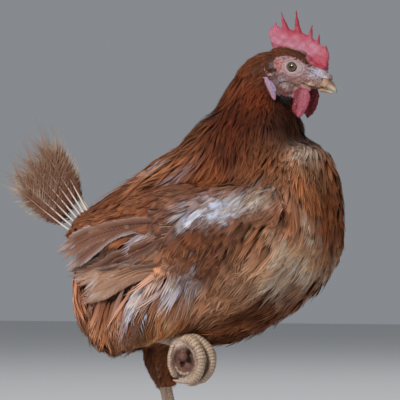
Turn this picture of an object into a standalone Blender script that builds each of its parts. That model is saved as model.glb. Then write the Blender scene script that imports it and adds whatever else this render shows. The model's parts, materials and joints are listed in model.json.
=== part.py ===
"""A brown laying hen, life size, standing on the left leg with the right foot tucked up and clenched.

Metres, +Z up, bill towards +X, the hen's left side towards +Y. The body forms are lofts over rings along
a centre line, in a frame with the floor at zero. The neck, wings, thighs and comb are each cut back by a
slightly fattened copy of the form they sit on, and the long forms are parted by thin planar gaps.
"""

import math

import bmesh
import bpy
from mathutils import Matrix, Vector

GAP = 0.0004  # clearance between neighbouring pieces
FATTEN = GAP  # how much larger a cutting copy is than the form it copies

HEAD_CENTRE = (0.0967, 0.0, 0.3638)  # midway between the eyes
HEAD_TURN = math.radians(-6)  # looking a little to the right
HEAD_DIP = math.radians(14)  # bill pointing slightly down
EYE_OUT = 0.0095  # eyeball centre to the middle of the head
EYE_RADIUS = 0.0066

HOCK_STANDING = Vector((-0.043, 0.012, 0.078))
ANKLE_STANDING = Vector((-0.026, 0.004, 0.0125))
HOCK_TUCKED = Vector((-0.080, -0.042, 0.100))
ANKLE_TUCKED = Vector((-0.006, -0.047, 0.1055))
CLENCH_CENTRE = Vector((0.003, -0.047, 0.0872))  # the toes curl round this

TOE_RADIUS = 0.0050
TOE_TIP_RADIUS = 0.0034
SOLE_SHARE = 0.92  # height of a standing toe's centre line, as a share of its radius: its sole is cut flat
CLAW_LENGTH = 0.012

# Standing toes: heading from straight ahead in degrees, length from the ankle, number of toe bones.
STANDING_TOES = {
    "hallux": (172, 0.023, 2),
    "inner": (-36, 0.042, 3),
    "middle": (-2, 0.060, 4),
    "outer": (38, 0.047, 4),
}
# Clenched toes: reach ahead of and below the centre, end angle, place across, number of toe bones.
CLENCHED_TOES = {
    "inner": (0.0205, 0.0195, -28, 0.0125, 3),
    "middle": (0.0225, 0.0212, -62, 0.0015, 4),
    "outer": (0.0148, 0.0178, -88, -0.0090, 4),
}
CLENCHED_HALLUX = ((-0.006, -0.002, 0.0130), (-0.0082, -0.003, 0.0055), (-0.0080, -0.0035, -0.0015), (-0.0058, -0.0035, -0.0075))

TAIL_FEATHERS = 7  # on each side
TAIL_FEATHER_LENGTH = 0.099
TAIL_LOWEST, TAIL_HIGHEST = math.radians(31), math.radians(57)  # above straight back

SIDE = Vector((0, 1, 0))
UP = Vector((0, 0, 1))

# Rings of each form: centre x, y, z, then the half width and the half height.
TRUNK = (
    (-0.131, 0, 0.187, 0.012, 0.014),
    (-0.125, 0, 0.180, 0.034, 0.042),
    (-0.108, 0, 0.172, 0.053, 0.059),
    (-0.078, 0, 0.176, 0.065, 0.074),
    (-0.039, 0, 0.188, 0.071, 0.087),
    (0.000, 0, 0.200, 0.074, 0.095),
    (0.040, 0, 0.208, 0.075, 0.097),
    (0.079, 0, 0.216, 0.071, 0.0885),
    (0.107, 0, 0.222, 0.060, 0.0735),
    (0.1265, 0, 0.229, 0.042, 0.0490),
    (0.136, 0, 0.235, 0.014, 0.016),
)
NECK = (
    (0.030, 0, 0.230, 0.050, 0.054),
    (0.040, 0, 0.262, 0.056, 0.062),
    (0.049, 0, 0.290, 0.049, 0.0570),
    (0.0550, 0, 0.312, 0.037, 0.0465),
    (0.0560, 0, 0.332, 0.0265, 0.0335),
    (0.0610, 0, 0.349, 0.0185, 0.0268),
    (0.0715, 0, 0.360, 0.0158, 0.0215),
    (0.084, 0, 0.366, 0.0115, 0.014),
)
WING = (  # the right one; the left is its mirror
    (0.090, -0.050, 0.224, 0.006, 0.010),
    (0.083, -0.056, 0.223, 0.012, 0.025),
    (0.058, -0.064, 0.216, 0.0155, 0.039),
    (0.022, -0.068, 0.208, 0.0165, 0.047),
    (-0.020, -0.067, 0.200, 0.0165, 0.045),
    (-0.060, -0.060, 0.196, 0.0150, 0.037),
    (-0.092, -0.049, 0.198, 0.0115, 0.026),
    (-0.113, -0.040, 0.200, 0.0070, 0.015),
    (-0.125, -0.034, 0.202, 0.0030, 0.006),
)
THIGH_STANDING = (
    (0.000, 0.040, 0.175, 0.036, 0.040),
    (-0.022, 0.036, 0.138, 0.032, 0.040),
    (-0.036, 0.026, 0.108, 0.022, 0.028),
    (-0.041, 0.017, 0.088, 0.0145, 0.0185),
    (-0.040, 0.013, 0.072, 0.0100, 0.0135),
    (-0.037, 0.011, 0.061, 0.0075, 0.0090),
)
THIGH_TUCKED = (
    (0.000, -0.040, 0.180, 0.036, 0.042),
    (-0.028, -0.047, 0.148, 0.034, 0.041),
    (-0.052, -0.046, 0.120, 0.026, 0.033),
    (-0.068, -0.044, 0.102, 0.017, 0.018),
    (-0.079, -0.042, 0.090, 0.009, 0.010),
)

# In the head's own frame: bill towards +X, the mouth level, the eyes at zero.
SKULL = (
    (-0.034, 0, -0.0060, 0.0055, 0.0065),
    (-0.030, 0, -0.0052, 0.0105, 0.0120),
    (-0.020, 0, -0.0038, 0.0145, 0.0170),
    (-0.008, 0, -0.0028, 0.0160, 0.0190),
    (0.004, 0, -0.0032, 0.0148, 0.0176),
    (0.014, 0, -0.0042, 0.0122, 0.0142),
    (0.021, 0, -0.0046, 0.0100, 0.0116),
    (0.0265, 0, -0.0048, 0.0085, 0.0100),
    (0.0302, 0, -0.0052, 0.0073, 0.0086),
)
BILL_UPPER = (
    (0.0296, 0, -0.0051, 0.0072, 0.0072),
    (0.0335, 0, -0.0074, 0.0062, 0.0051),
    (0.0375, 0, -0.0086, 0.0048, 0.0041),
    (0.0410, 0, -0.0103, 0.0034, 0.0029),
    (0.0434, 0, -0.0121, 0.0018, 0.0018),
    (0.0446, 0, -0.0134, 0.0008, 0.0009),
)
BILL_LOWER = (
    (0.0296, 0, -0.0148, 0.0060, 0.0022),
    (0.0340, 0, -0.0147, 0.0047, 0.0018),
    (0.0380, 0, -0.0147, 0.0031, 0.0014),
    (0.0408, 0, -0.0150, 0.0014, 0.0009),
)
COMB_BLADE = (  # it stands clear of the skull by a little more than the gap
    (-0.0365, 0, 0.0262, 0.0012, 0.0024),
    (-0.0345, 0, 0.0264, 0.0022, 0.0060),
    (-0.0290, 0, 0.0262, 0.0027, 0.0079),
    (-0.0220, 0, 0.0233, 0.0030, 0.0092),
    (-0.0130, 0, 0.0249, 0.0032, 0.0087),
    (-0.0040, 0, 0.0249, 0.0033, 0.0082),
    (0.0050, 0, 0.0236, 0.0034, 0.0085),
    (0.0130, 0, 0.0203, 0.0034, 0.0087),
    (0.0190, 0, 0.0175, 0.0033, 0.0084),
    (0.0245, 0, 0.0165, 0.0028, 0.0090),
    (0.0280, 0, 0.0146, 0.0018, 0.0060),
    (0.0294, 0, 0.0136, 0.0008, 0.0026),
)
# Each spike of the comb from back to front: where it starts inside the blade, its tip, half its width there.
COMB_SPIKES = (
    ((-0.0300, 0.0285), (-0.0328, 0.0372), 0.0042),
    ((-0.0178, 0.0270), (-0.0297, 0.0480), 0.0052),
    ((-0.0060, 0.0270), (-0.0142, 0.0530), 0.0052),
    ((0.0058, 0.0250), (0.0046, 0.0424), 0.0042),
    ((0.0150, 0.0205), (0.0140, 0.0364), 0.0038),
    ((0.0240, 0.0190), (0.0236, 0.0275), 0.0036),
)


def material(name, colour, roughness):
    made = bpy.data.materials.new(name)
    made.use_nodes = True
    shader = made.node_tree.nodes["Principled BSDF"]
    shader.inputs["Base Color"].default_value = (*colour, 1)
    shader.inputs["Roughness"].default_value = roughness
    shader.inputs["Metallic"].default_value = 0
    return made


def plain_section(angle):
    """Where a ring's point lies, as shares of the half width and half height."""
    return math.cos(angle), math.sin(angle)


def body_section(angle):
    """Narrower over the back than low on the flanks."""
    return math.cos(angle) * (1 - 0.10 * math.sin(angle)), math.sin(angle)


def smoothed(rings, between):
    """The rings with others set between them, on Catmull-Rom curves."""
    ends = [rings[0], *rings, rings[-1]]
    made = []
    for before, start, end, after in zip(ends, ends[1:], ends[2:], ends[3:]):
        for step in range(between + 1):
            t = step / (between + 1)
            made.append(
                tuple(
                    b
                    + 0.5 * t * (c - a + t * (2 * a - 5 * b + 4 * c - d + t * (3 * (b - c) + d - a)))
                    for a, b, c, d in zip(before, start, end, after)
                )
            )
    return [*made, rings[-1]]


def loft(rings, sides=20, section=plain_section, grow=0.0, side=SIDE, heading=None):
    """A closed mesh skinned over rings of x, y, z, half width and half height.

    The rings are square to their centre line or, given a heading, all square to that.
    """
    bm = bmesh.new()
    centres = [Vector(ring[:3]) for ring in rings]
    last = len(rings) - 1
    loops = []
    for i, (*_, half_width, half_height) in enumerate(rings):
        along = heading or (centres[min(i + 1, last)] - centres[max(i - 1, 0)]).normalized()
        across = (side - along * side.dot(along)).normalized()
        upright = along.cross(across)
        end = -1 if i == 0 else (1 if i == last else 0)
        centre = centres[i] + along * grow * end
        made = bmesh.ops.create_circle(bm, segments=sides, radius=1)["verts"]
        for vert in made:
            wide, high = section(math.atan2(vert.co.y, vert.co.x))
            vert.co = (
                centre
                + across * wide * (half_width + grow)
                + upright * high * (half_height + grow)
            )
        loops.append(made)
    edges = [list({edge for vert in made for edge in vert.link_edges}) for made in loops]
    for first, second in zip(edges, edges[1:]):
        bmesh.ops.bridge_loops(bm, edges=first + second)
    for made in (loops[0], loops[-1]):
        bmesh.ops.contextual_create(bm, geom=made)
    bmesh.ops.recalc_face_normals(bm, faces=bm.faces)
    # A form and its fattened copy split their bent quads the same way, so that the gap stays even.
    bmesh.ops.triangulate(bm, faces=bm.faces, quad_method="FIXED")
    return bm


def tube(points, radii, sides=8, side=SIDE):
    """A round limb along points."""
    return loft([(*p, r, r) for p, r in zip(points, radii)], sides, side=side)


def mirrored(rings):
    return [(x, -y, z, wide, high) for x, y, z, wide, high in rings]


def cut_flat(bm, point, normal):
    """Takes away what lies beyond the plane and closes the cut."""
    geometry = [*bm.verts, *bm.edges, *bm.faces]
    found = bmesh.ops.bisect_plane(
        bm, geom=geometry, dist=1e-6, plane_co=point, plane_no=normal, clear_outer=True
    )
    rim = [item for item in found["geom_cut"] if isinstance(item, bmesh.types.BMEdge)]
    bmesh.ops.contextual_create(bm, geom=rim)
    bmesh.ops.recalc_face_normals(bm, faces=bm.faces)
    return bm


def parted(bm, planes):
    """The form as separate meshes, with a thin gap at each plane. The planes run along it in order."""
    pieces = []
    for i in range(len(planes) + 1):
        piece = bm.copy()
        if i > 0:
            point, normal = planes[i - 1]
            cut_flat(piece, point + normal * GAP / 2, -normal)
        if i < len(planes):
            point, normal = planes[i]
            cut_flat(piece, point - normal * GAP / 2, normal)
        pieces.append(piece)
    bm.free()
    return pieces


def frame(name, location=(0, 0, 0), rotation=(0, 0, 0), parent=None):
    made = bpy.data.objects.new(name, None)
    bpy.context.scene.collection.objects.link(made)
    made.parent = parent
    made.rotation_mode = "XYZ"
    made.location = location
    made.rotation_euler = rotation
    return made


def node(name, bm, finish, parent, cutters=()):
    """A named piece of the hen, cut back by each cutter."""
    mesh = bpy.data.meshes.new(name)
    bm.to_mesh(mesh)
    bm.free()
    mesh.materials.append(finish)
    mesh.shade_smooth()
    mesh.set_sharp_from_angle(angle=math.radians(50))
    made = bpy.data.objects.new(name, mesh)
    made.parent = parent
    bpy.context.scene.collection.objects.link(made)
    cut_by(made, cutters)
    return made


def cut_by(target, cutters):
    for cutter in cutters:
        cut = target.modifiers.new(cutter.name, "BOOLEAN")
        cut.operation = "DIFFERENCE"
        cut.solver = "EXACT"
        cut.use_self = True
        cut.object = cutter


def helper(name, bm, parent):
    """A shape that only cuts or joins others."""
    mesh = bpy.data.meshes.new(name)
    bm.to_mesh(mesh)
    bm.free()
    made = bpy.data.objects.new(name, mesh)
    made.parent = parent
    made.hide_render = True
    made.display_type = "WIRE"
    bpy.context.scene.collection.objects.link(made)
    return made


def join_into(target, others):
    """Unites helpers with a piece, so that they are one body."""
    for other in others:
        add = target.modifiers.new(other.name, "BOOLEAN")
        add.operation = "UNION"
        add.solver = "EXACT"
        add.use_self = True
        add.object = other


def trunk_form(grow=0.0):
    return loft(smoothed(TRUNK, 1), 18, body_section, grow, heading=Vector((1, 0, 0)))


def neck_form(grow=0.0):
    return loft(smoothed(NECK, 1), 16, grow=grow)


def skull_form(grow=0.0):
    return loft(smoothed(SKULL, 1), 14, grow=grow)


def wing_form(rings, grow=0.0):
    return loft(smoothed(rings, 1), 12, grow=grow)


def build_trunk(hen, feathers):
    """Breast, middle and rump."""
    planes = [
        (Vector((-0.072, 0, 0.19)), Vector((0.94, 0, -0.34)).normalized()),
        (Vector((0.050, 0, 0.20)), Vector((0.88, 0, -0.47)).normalized()),
    ]
    for name, piece in zip(("rump", "trunk", "breast"), parted(trunk_form(), planes)):
        node(name, piece, feathers, hen)
    return helper("trunk_cutter", trunk_form(FATTEN), hen)


def build_neck(hen, feathers, cutters):
    """The hackle's full lower part and the slimmer upper part."""
    plane = (Vector((0.058, 0, 0.325)), Vector((0.12, 0, 0.99)).normalized())
    for name, piece in zip(("neck_lower", "neck_upper"), parted(neck_form(), [plane])):
        node(name, piece, feathers, hen, cutters)
    return helper("neck_cutter", neck_form(FATTEN), hen)


def build_wings(hen, feathers, cutters):
    """Each folded wing, parted between the shoulder half and the long flight feathers."""
    solids = []
    plane = (Vector((-0.030, 0, 0.20)), Vector((0.93, 0, 0.36)).normalized())
    for side_name, rings in (("right", WING), ("left", mirrored(WING))):
        flight, shoulder = parted(wing_form(rings), [plane])
        node(f"wing_{side_name}_shoulder", shoulder, feathers, hen, cutters)
        node(f"wing_{side_name}_flight", flight, feathers, hen, cutters)
        solids.append(helper(f"wing_{side_name}_cutter", wing_form(rings, FATTEN), hen))
    return solids


def tail_blade(side_sign, order):
    """One tail feather as a thin blade, widest near its blunt tip."""
    share = order / (TAIL_FEATHERS - 1)  # 0 at the lowest, 1 at the highest
    rise = TAIL_LOWEST + (TAIL_HIGHEST - TAIL_LOWEST) * share
    root = Vector((-0.107 + 0.004 * share, side_sign * (0.007 - 0.004 * share), 0.206 + 0.013 * share))
    heading = Vector((-math.cos(rise), side_sign * 0.09 * (1 - share), math.sin(rise))).normalized()
    lean = Vector((0, 1, 0)) + UP * 0.25 * side_sign
    rings = []
    for reach, half_width in ((0, 0.0022), (0.4, 0.0044), (0.7, 0.0068), (0.9, 0.0078), (1, 0.0038)):
        droop = -0.006 * reach**2 * (1 - share)
        centre = root + heading * TAIL_FEATHER_LENGTH * reach + UP * droop
        rings.append((*centre, 0.0007, half_width))
    return loft(rings, 4, side=lean)


def build_tail(hen, feathers, cutters):
    """The stump under the tail coverts, with all its feathers joined to it."""
    stump = [
        (-0.094, 0.0004, 0.204, 0.018, 0.024),
        (-0.116, 0.0004, 0.2175, 0.017, 0.022),
        (-0.130, 0.0004, 0.2285, 0.012, 0.018),
        (-0.141, 0.0004, 0.2385, 0.005, 0.010),
    ]
    tail = node("tail", loft(smoothed(stump, 1), 12), feathers, hen)
    blades = [
        helper(f"tail_blade_{side_name}_{order}", tail_blade(sign, order), hen)
        for side_name, sign in (("right", -1), ("left", 1))
        for order in range(TAIL_FEATHERS)
    ]
    join_into(tail, blades)
    cut_by(tail, cutters)


def build_comb(head, red):
    """A standing blade with a row of thin spikes, each leaning a little to one side or the other."""
    comb = node("comb", loft(COMB_BLADE, 8, heading=Vector((1, 0, 0))), red, head)
    spikes = []
    for i, ((root_x, root_z), (tip_x, tip_z), half_width) in enumerate(COMB_SPIKES):
        root = Vector((root_x, 0, root_z))
        tip = Vector((tip_x, 0.0014 * math.sin(2.1 * i + 0.6), tip_z))
        rings = [
            (*root.lerp(tip, share), 0.0007 + 0.0019 * (1 - share), 0.0005 + half_width * (1 - share) ** 1.5)
            for share in (0, 0.4, 0.75, 1)
        ]
        spikes.append(helper(f"comb_spike_{i}", loft(rings, 6), head))
    join_into(comb, spikes)


def flap(top, bottom, half_width, half_thickness, side, fullness):
    """A hanging lobe of flesh: rings from top to bottom, fullest at the given share of its length."""
    rings = []
    steps = 5
    for i in range(steps + 1):
        share = i / steps
        swell = math.sin(math.pi * min(0.97, 0.06 + 0.91 * share) ** fullness)
        centre = Vector(top).lerp(Vector(bottom), share)
        rings.append((*centre, half_thickness * (0.35 + 0.65 * swell), half_width * (0.12 + 0.88 * swell)))
    return loft(rings, 8, side=side)


def build_head(head, skin, red, horn, lobe, eye):
    """Skull, bill, comb, wattles, ear lobes and eyes, in the head's own frame."""
    skull_cutter = helper("skull_cutter", skull_form(FATTEN), head)
    eye_cutters, beside_neck = [], []
    for side_name, sign in (("right", -1), ("left", 1)):
        centre = Vector((0, sign * EYE_OUT, 0))
        for grow in (0.0, FATTEN):
            ball = bmesh.new()
            bmesh.ops.create_uvsphere(
                ball,
                u_segments=12,
                v_segments=8,
                radius=EYE_RADIUS + grow,
                matrix=Matrix.Translation(centre) @ Matrix.Rotation(math.pi / 2, 4, "X"),
            )
            if grow:
                eye_cutters.append(helper(f"eye_{side_name}_cutter", ball, head))
            else:
                node(f"eye_{side_name}", ball, eye, head)
        wattle = flap(
            (0.0125, sign * 0.0074, -0.0150),
            (0.0068, sign * 0.0096, -0.0460),
            0.0088,
            0.0021,
            SIDE,
            0.72,
        )
        beside_neck.append(node(f"wattle_{side_name}", wattle, red, head, [skull_cutter]))
        ear_lobe = flap(
            (-0.0258, sign * 0.0192, -0.0090),
            (-0.0068, sign * 0.0172, -0.0340),
            0.0048,
            0.0018,
            Vector((-0.25 * sign, 1, 0)),
            0.9,
        )
        beside_neck.append(node(f"ear_lobe_{side_name}", ear_lobe, lobe, head, [skull_cutter]))
    node("head", skull_form(), skin, head, eye_cutters)
    build_comb(head, red)
    ahead = Vector((1, 0, 0))
    node("bill_upper", loft(smoothed(BILL_UPPER, 1), 14, heading=ahead), horn, head, [skull_cutter])
    node("bill_lower", loft(BILL_LOWER, 12, heading=ahead), horn, head, [skull_cutter])
    return skull_cutter, beside_neck


def toe_radius(share, bones):
    """Slimmer towards the tip, with a soft pad under each bone."""
    taper = TOE_RADIUS + (TOE_TIP_RADIUS - TOE_RADIUS) * share
    return taper * (1 + 0.07 * math.cos(2 * math.pi * bones * share))


def claw_form(base, heading, droop, side):
    """A horn sheath that curves down from the end of a toe."""
    rings = []
    steps = 3
    for i in range(steps + 1):
        share = i / steps
        centre = base + heading * CLAW_LENGTH * share + droop * CLAW_LENGTH * 0.35 * share**2
        radius = TOE_TIP_RADIUS * 0.70 * (1 - share) ** 0.8 + 0.0005
        rings.append((*centre, radius * 0.85, radius))
    return loft(rings, 6, side=side)


def build_standing_foot(hen, scaly, horn, thigh_cutter):
    """Four toes on one flat level sole, the shank and the claws."""
    toe_ends = {}
    limbs = []
    for name, (heading_deg, length, bones) in STANDING_TOES.items():
        heading = Matrix.Rotation(math.radians(heading_deg), 3, "Z") @ Vector((1, 0, 0))
        points, radii = [], []
        steps = 2 * bones + 1
        for i in range(steps + 1):
            share = i / steps
            drop = max(0, 1 - share * length / 0.017)
            radii.append(toe_radius(share, bones))
            resting = SOLE_SHARE * (TOE_RADIUS + (TOE_TIP_RADIUS - TOE_RADIUS) * share)
            height = resting + (ANKLE_STANDING.z - resting) * drop * drop * (3 - 2 * drop)
            flat = Vector((ANKLE_STANDING.x, ANKLE_STANDING.y, height))
            points.append(flat + heading * length * share)
        limbs.append(tube(points, radii, side=UP.cross(heading)))
        toe_ends[name] = (points[-1], heading)
    foot = node("foot_left", limbs[2], scaly, hen)
    joined = [helper(f"toe_left_{i}", limb, hen) for i, limb in enumerate(limbs) if i != 2]
    along = (ANKLE_STANDING - HOCK_STANDING).normalized()
    shank_top, shank_end = HOCK_STANDING - along * 0.004, ANKLE_STANDING + along * 0.001
    shares = [i / 6 for i in range(7)]
    shank_points = [shank_top.lerp(shank_end, share) for share in shares]
    radii = [0.0058 + 0.0022 * (2 * share - 1) ** 4 - 0.0006 * share for share in shares]
    shank = tube(shank_points, radii, 10)
    ankle = bmesh.new()
    bmesh.ops.create_uvsphere(
        ankle, u_segments=10, v_segments=7, radius=0.0066, matrix=Matrix.Translation(ANKLE_STANDING)
    )
    joined.append(helper("ankle_left", ankle, hen))
    upper, lower = parted(shank, [(ANKLE_STANDING - along * 0.012, along)])
    node("shank_left", upper, scaly, hen, [thigh_cutter])
    joined.append(helper("shank_left_end", lower, hen))
    join_into(foot, joined)
    below = bmesh.new()
    bmesh.ops.create_cube(below, size=0.3, matrix=Matrix.Translation((0, 0, -0.15)))
    cut_by(foot, [helper("floor_cutter", below, hen)])
    for name, (end, heading) in toe_ends.items():
        base = end + heading * (GAP + 0.0001)
        node(f"claw_left_{name}", claw_form(base, heading, -UP * 0.2, UP.cross(heading)), horn, hen)


def clenched_path(name, steps):
    """The centre line of a clenched toe, over, ahead of and back under the clench's centre."""
    ahead, below, end_deg, across, _ = CLENCHED_TOES[name]
    start = ANKLE_TUCKED - CLENCH_CENTRE
    first, reach = math.atan2(start.z, start.x), start.length
    points = []
    for i in range(steps + 1):
        share = i / steps
        angle = first + (math.radians(end_deg) - first) * share
        settled = min(1, share / 0.45)
        settled *= settled * (3 - 2 * settled)
        spot = Vector((math.cos(angle) * (reach + (ahead - reach) * settled), 0, math.sin(angle) * (reach + (below - reach) * settled)))
        points.append(CLENCH_CENTRE + spot + SIDE * across * min(1, share / 0.35) ** 0.8)
    return points


def build_tucked_foot(hen, scaly, horn, thigh_cutter):
    """The raised shank, and the toes curled under like a fist."""
    limbs = []
    for name, (*_, bones) in CLENCHED_TOES.items():
        points = clenched_path(name, 3 * bones)
        shares = [i / (3 * bones) for i in range(3 * bones + 1)]
        limbs.append(tube(points, [toe_radius(share, bones) for share in shares]))
        heading = (points[-1] - points[-2]).normalized()
        inwards = (CLENCH_CENTRE + SIDE * (points[-1].y - CLENCH_CENTRE.y) - points[-1]).normalized()
        base = points[-1] + heading * (GAP + 0.0001)
        node(f"claw_right_{name}", claw_form(base, heading, inwards * 0.8, SIDE), horn, hen)
    hallux = [CLENCH_CENTRE + Vector(spot) for spot in CLENCHED_HALLUX]
    limbs.append(tube(hallux, (0.0040, 0.0038, 0.0036, TOE_TIP_RADIUS)))
    heading = (hallux[-1] - hallux[-2]).normalized()
    base = hallux[-1] + heading * (GAP + 0.0001)
    node("claw_right_hallux", claw_form(base, heading, Vector((0.5, 0, 0.3)), SIDE), horn, hen)

    along = (ANKLE_TUCKED - HOCK_TUCKED).normalized()
    shares = [i / 6 for i in range(7)]
    inside_thigh = HOCK_TUCKED.lerp(ANKLE_TUCKED, 0.58)
    points = [inside_thigh.lerp(ANKLE_TUCKED, share) for share in shares]
    radii = [0.0060 + 0.0020 * (2 * share - 1) ** 4 - 0.0006 * share for share in shares]
    upper, lower = parted(tube(points, radii, 10), [(ANKLE_TUCKED - along * 0.007, along)])
    node("shank_right", upper, scaly, hen, [thigh_cutter])
    ankle = bmesh.new()
    bmesh.ops.create_uvsphere(
        ankle, u_segments=10, v_segments=7, radius=0.0066, matrix=Matrix.Translation(ANKLE_TUCKED)
    )
    foot = node("foot_right", limbs[1], scaly, hen)
    pad = bmesh.new()
    centre = CLENCH_CENTRE + Vector((-0.002, -0.002, 0.0115))
    bmesh.ops.create_uvsphere(pad, u_segments=10, v_segments=7, radius=0.0062, matrix=Matrix.Translation(centre))
    others = [limbs[0], limbs[2], limbs[3], ankle, pad, lower]
    join_into(foot, [helper(f"toe_right_{i}", bm, hen) for i, bm in enumerate(others)])
    cut_by(foot, [thigh_cutter])


def build_legs(hen, feathers, scaly, horn, body_cutters):
    for side_name, rings in (("left", THIGH_STANDING), ("right", THIGH_TUCKED)):
        form = smoothed(rings, 1)
        node(f"thigh_{side_name}", loft(form, 14), feathers, hen, body_cutters)
    build_standing_foot(hen, scaly, horn, helper("thigh_left_cutter", loft(smoothed(THIGH_STANDING, 1), 14, grow=FATTEN), hen))
    build_tucked_foot(hen, scaly, horn, helper("thigh_right_cutter", loft(smoothed(THIGH_TUCKED, 1), 14, grow=FATTEN), hen))


def centre_on_floor(hen):
    """Moves the whole hen so that the origin is under the middle of its box."""
    bpy.context.view_layer.update()
    graph = bpy.context.evaluated_depsgraph_get()
    corners = []
    for piece in bpy.context.scene.objects:
        if piece.type == "MESH" and not piece.hide_render:
            evaluated = piece.evaluated_get(graph)
            mesh = evaluated.to_mesh()
            corners += [evaluated.matrix_world @ vert.co for vert in mesh.vertices]
            evaluated.to_mesh_clear()
    low = [min(corner[axis] for corner in corners) for axis in range(3)]
    high = [max(corner[axis] for corner in corners) for axis in range(3)]
    hen.location = (-(low[0] + high[0]) / 2, -(low[1] + high[1]) / 2, -low[2])


def main():
    for old in list(bpy.data.objects):
        bpy.data.objects.remove(old, do_unlink=True)
    feathers = material("russet_feathers", (0.30, 0.11, 0.045), 0.75)
    skin = material("face_skin", (0.55, 0.27, 0.20), 0.6)
    red = material("comb_flesh", (0.60, 0.07, 0.09), 0.5)
    lobe = material("ear_lobe_skin", (0.62, 0.42, 0.52), 0.55)
    horn = material("horn", (0.55, 0.42, 0.26), 0.4)
    scaly = material("leg_scales", (0.62, 0.50, 0.36), 0.55)
    eye = material("eye", (0.10, 0.06, 0.03), 0.1)

    hen = frame("hen_frame")
    head = frame("head_frame", HEAD_CENTRE, (0, HEAD_DIP, HEAD_TURN), hen)
    trunk_cutter = build_trunk(hen, feathers)
    skull_cutter, beside_neck = build_head(head, skin, red, horn, lobe, eye)
    neck_cutter = build_neck(hen, feathers, [trunk_cutter, skull_cutter])
    for piece in beside_neck:
        cut_by(piece, [neck_cutter])
    wing_cutters = build_wings(hen, feathers, [trunk_cutter, neck_cutter])
    build_tail(hen, feathers, [trunk_cutter, *wing_cutters])
    build_legs(hen, feathers, scaly, horn, [trunk_cutter, *wing_cutters])
    centre_on_floor(hen)


main()
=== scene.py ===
# A brown laying hen standing on one leg, life size: skin, plumage, horn and eyes around the solids.
import itertools
import json
import math

import bmesh
import bpy
import numpy as np
from mathutils import Matrix, Vector
from mathutils.bvhtree import BVHTree

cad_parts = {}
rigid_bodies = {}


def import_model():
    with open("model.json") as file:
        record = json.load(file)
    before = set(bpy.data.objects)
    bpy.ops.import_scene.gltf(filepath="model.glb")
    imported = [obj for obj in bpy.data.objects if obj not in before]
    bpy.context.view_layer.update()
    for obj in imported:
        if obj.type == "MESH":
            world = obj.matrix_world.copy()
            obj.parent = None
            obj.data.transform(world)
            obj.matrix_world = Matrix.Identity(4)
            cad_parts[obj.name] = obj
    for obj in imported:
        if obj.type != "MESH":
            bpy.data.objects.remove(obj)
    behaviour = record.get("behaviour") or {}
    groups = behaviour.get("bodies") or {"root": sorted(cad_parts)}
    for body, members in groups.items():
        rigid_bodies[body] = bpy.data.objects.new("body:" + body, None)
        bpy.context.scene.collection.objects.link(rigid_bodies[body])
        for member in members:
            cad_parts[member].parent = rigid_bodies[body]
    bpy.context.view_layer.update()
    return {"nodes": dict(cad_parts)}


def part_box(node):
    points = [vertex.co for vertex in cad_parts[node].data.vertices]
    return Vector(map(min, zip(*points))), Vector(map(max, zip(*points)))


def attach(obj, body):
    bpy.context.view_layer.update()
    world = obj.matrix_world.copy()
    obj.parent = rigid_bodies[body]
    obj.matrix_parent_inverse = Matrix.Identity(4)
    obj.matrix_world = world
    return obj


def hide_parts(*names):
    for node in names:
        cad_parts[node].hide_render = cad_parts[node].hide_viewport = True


for leftover in list(bpy.data.objects):
    bpy.data.objects.remove(leftover)
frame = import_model()
nodes = frame["nodes"]

bird = {
    "headAhead": 0.0967,  # the head's middle, ahead of the hen's own zero
    "headTurn": -6,  # degrees, towards her right
    "headDip": 14,  # degrees, bill down
    "seed": 7,
}
rng = np.random.default_rng(bird["seed"])


def middleOf(node):
    low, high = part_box(node)
    return (low + high) / 2


headMiddle = (middleOf("eye_right") + middleOf("eye_left")) / 2
zero = Vector((headMiddle.x - bird["headAhead"], 0, 0))
headFrame = (
    Matrix.Translation(headMiddle)
    @ Matrix.Rotation(math.radians(bird["headTurn"]), 4, "Z")
    @ Matrix.Rotation(math.radians(bird["headDip"]), 4, "Y")
)


def toHead(points):
    return (points - np.array(headMiddle)) @ np.array(headFrame.to_3x3())


def fromHead(points):
    return np.asarray(points) @ np.array(headFrame.to_3x3()).T + np.array(headMiddle)


def step(low, high, value):
    share = np.clip((value - low) / (high - low), 0, 1)
    return share * share * (3 - 2 * share)


def bell(distance, width):
    return np.exp(-((distance / width) ** 2))


def mixed(first, second, share):
    return first + (second - first) * np.asarray(share)[..., None]


def unit(vectors):
    return vectors / np.maximum(np.linalg.norm(vectors, axis=-1, keepdims=True), 1e-9)


def tone(red, green, blue):
    # a colour as a screen shows it, turned to linear light
    return np.array([((c / 255 + 0.055) / 1.055) ** 2.4 for c in (red, green, blue)])


def plain(shades, count):
    return np.tile(tone(*shades), (count, 1))


def tinted(colours, shades, share):
    return mixed(colours, tone(*shades), share)


def ripple(points, size, seed):
    # smooth unevenness between about -1 and 1
    local = np.random.default_rng(seed)
    waves = local.normal(size=(7, 3)) * 2.2 / size
    return np.sin(points @ waves.T + local.uniform(0, 6.28, 7)).sum(1) / 3.2


class Socket:
    # a value in a material; arithmetic on it adds Math nodes
    def __init__(self, paint, output):
        self.paint = paint
        self.output = output

    def math(self, operation, *others):
        return self.paint.add("ShaderNodeMath", {"operation": operation}, dict(enumerate((self, *others))))

    def __add__(self, other):
        return self.math("ADD", other)

    def __radd__(self, other):
        return self.math("ADD", other)

    def __sub__(self, other):
        return self.math("SUBTRACT", other)

    def __rsub__(self, other):
        return self.paint.add("ShaderNodeMath", {"operation": "SUBTRACT"}, {0: other, 1: self})

    def __mul__(self, other):
        return self.math("MULTIPLY", other)

    def __rmul__(self, other):
        return self.math("MULTIPLY", other)

    def __truediv__(self, other):
        return self.math("DIVIDE", other)

    def __pow__(self, other):
        return self.math("POWER", other)

    def between(self, low, high):
        ends = {"Value": self, "From Min": low, "From Max": high}
        return self.paint.add("ShaderNodeMapRange", {"interpolation_type": "SMOOTHSTEP"}, ends)


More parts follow.
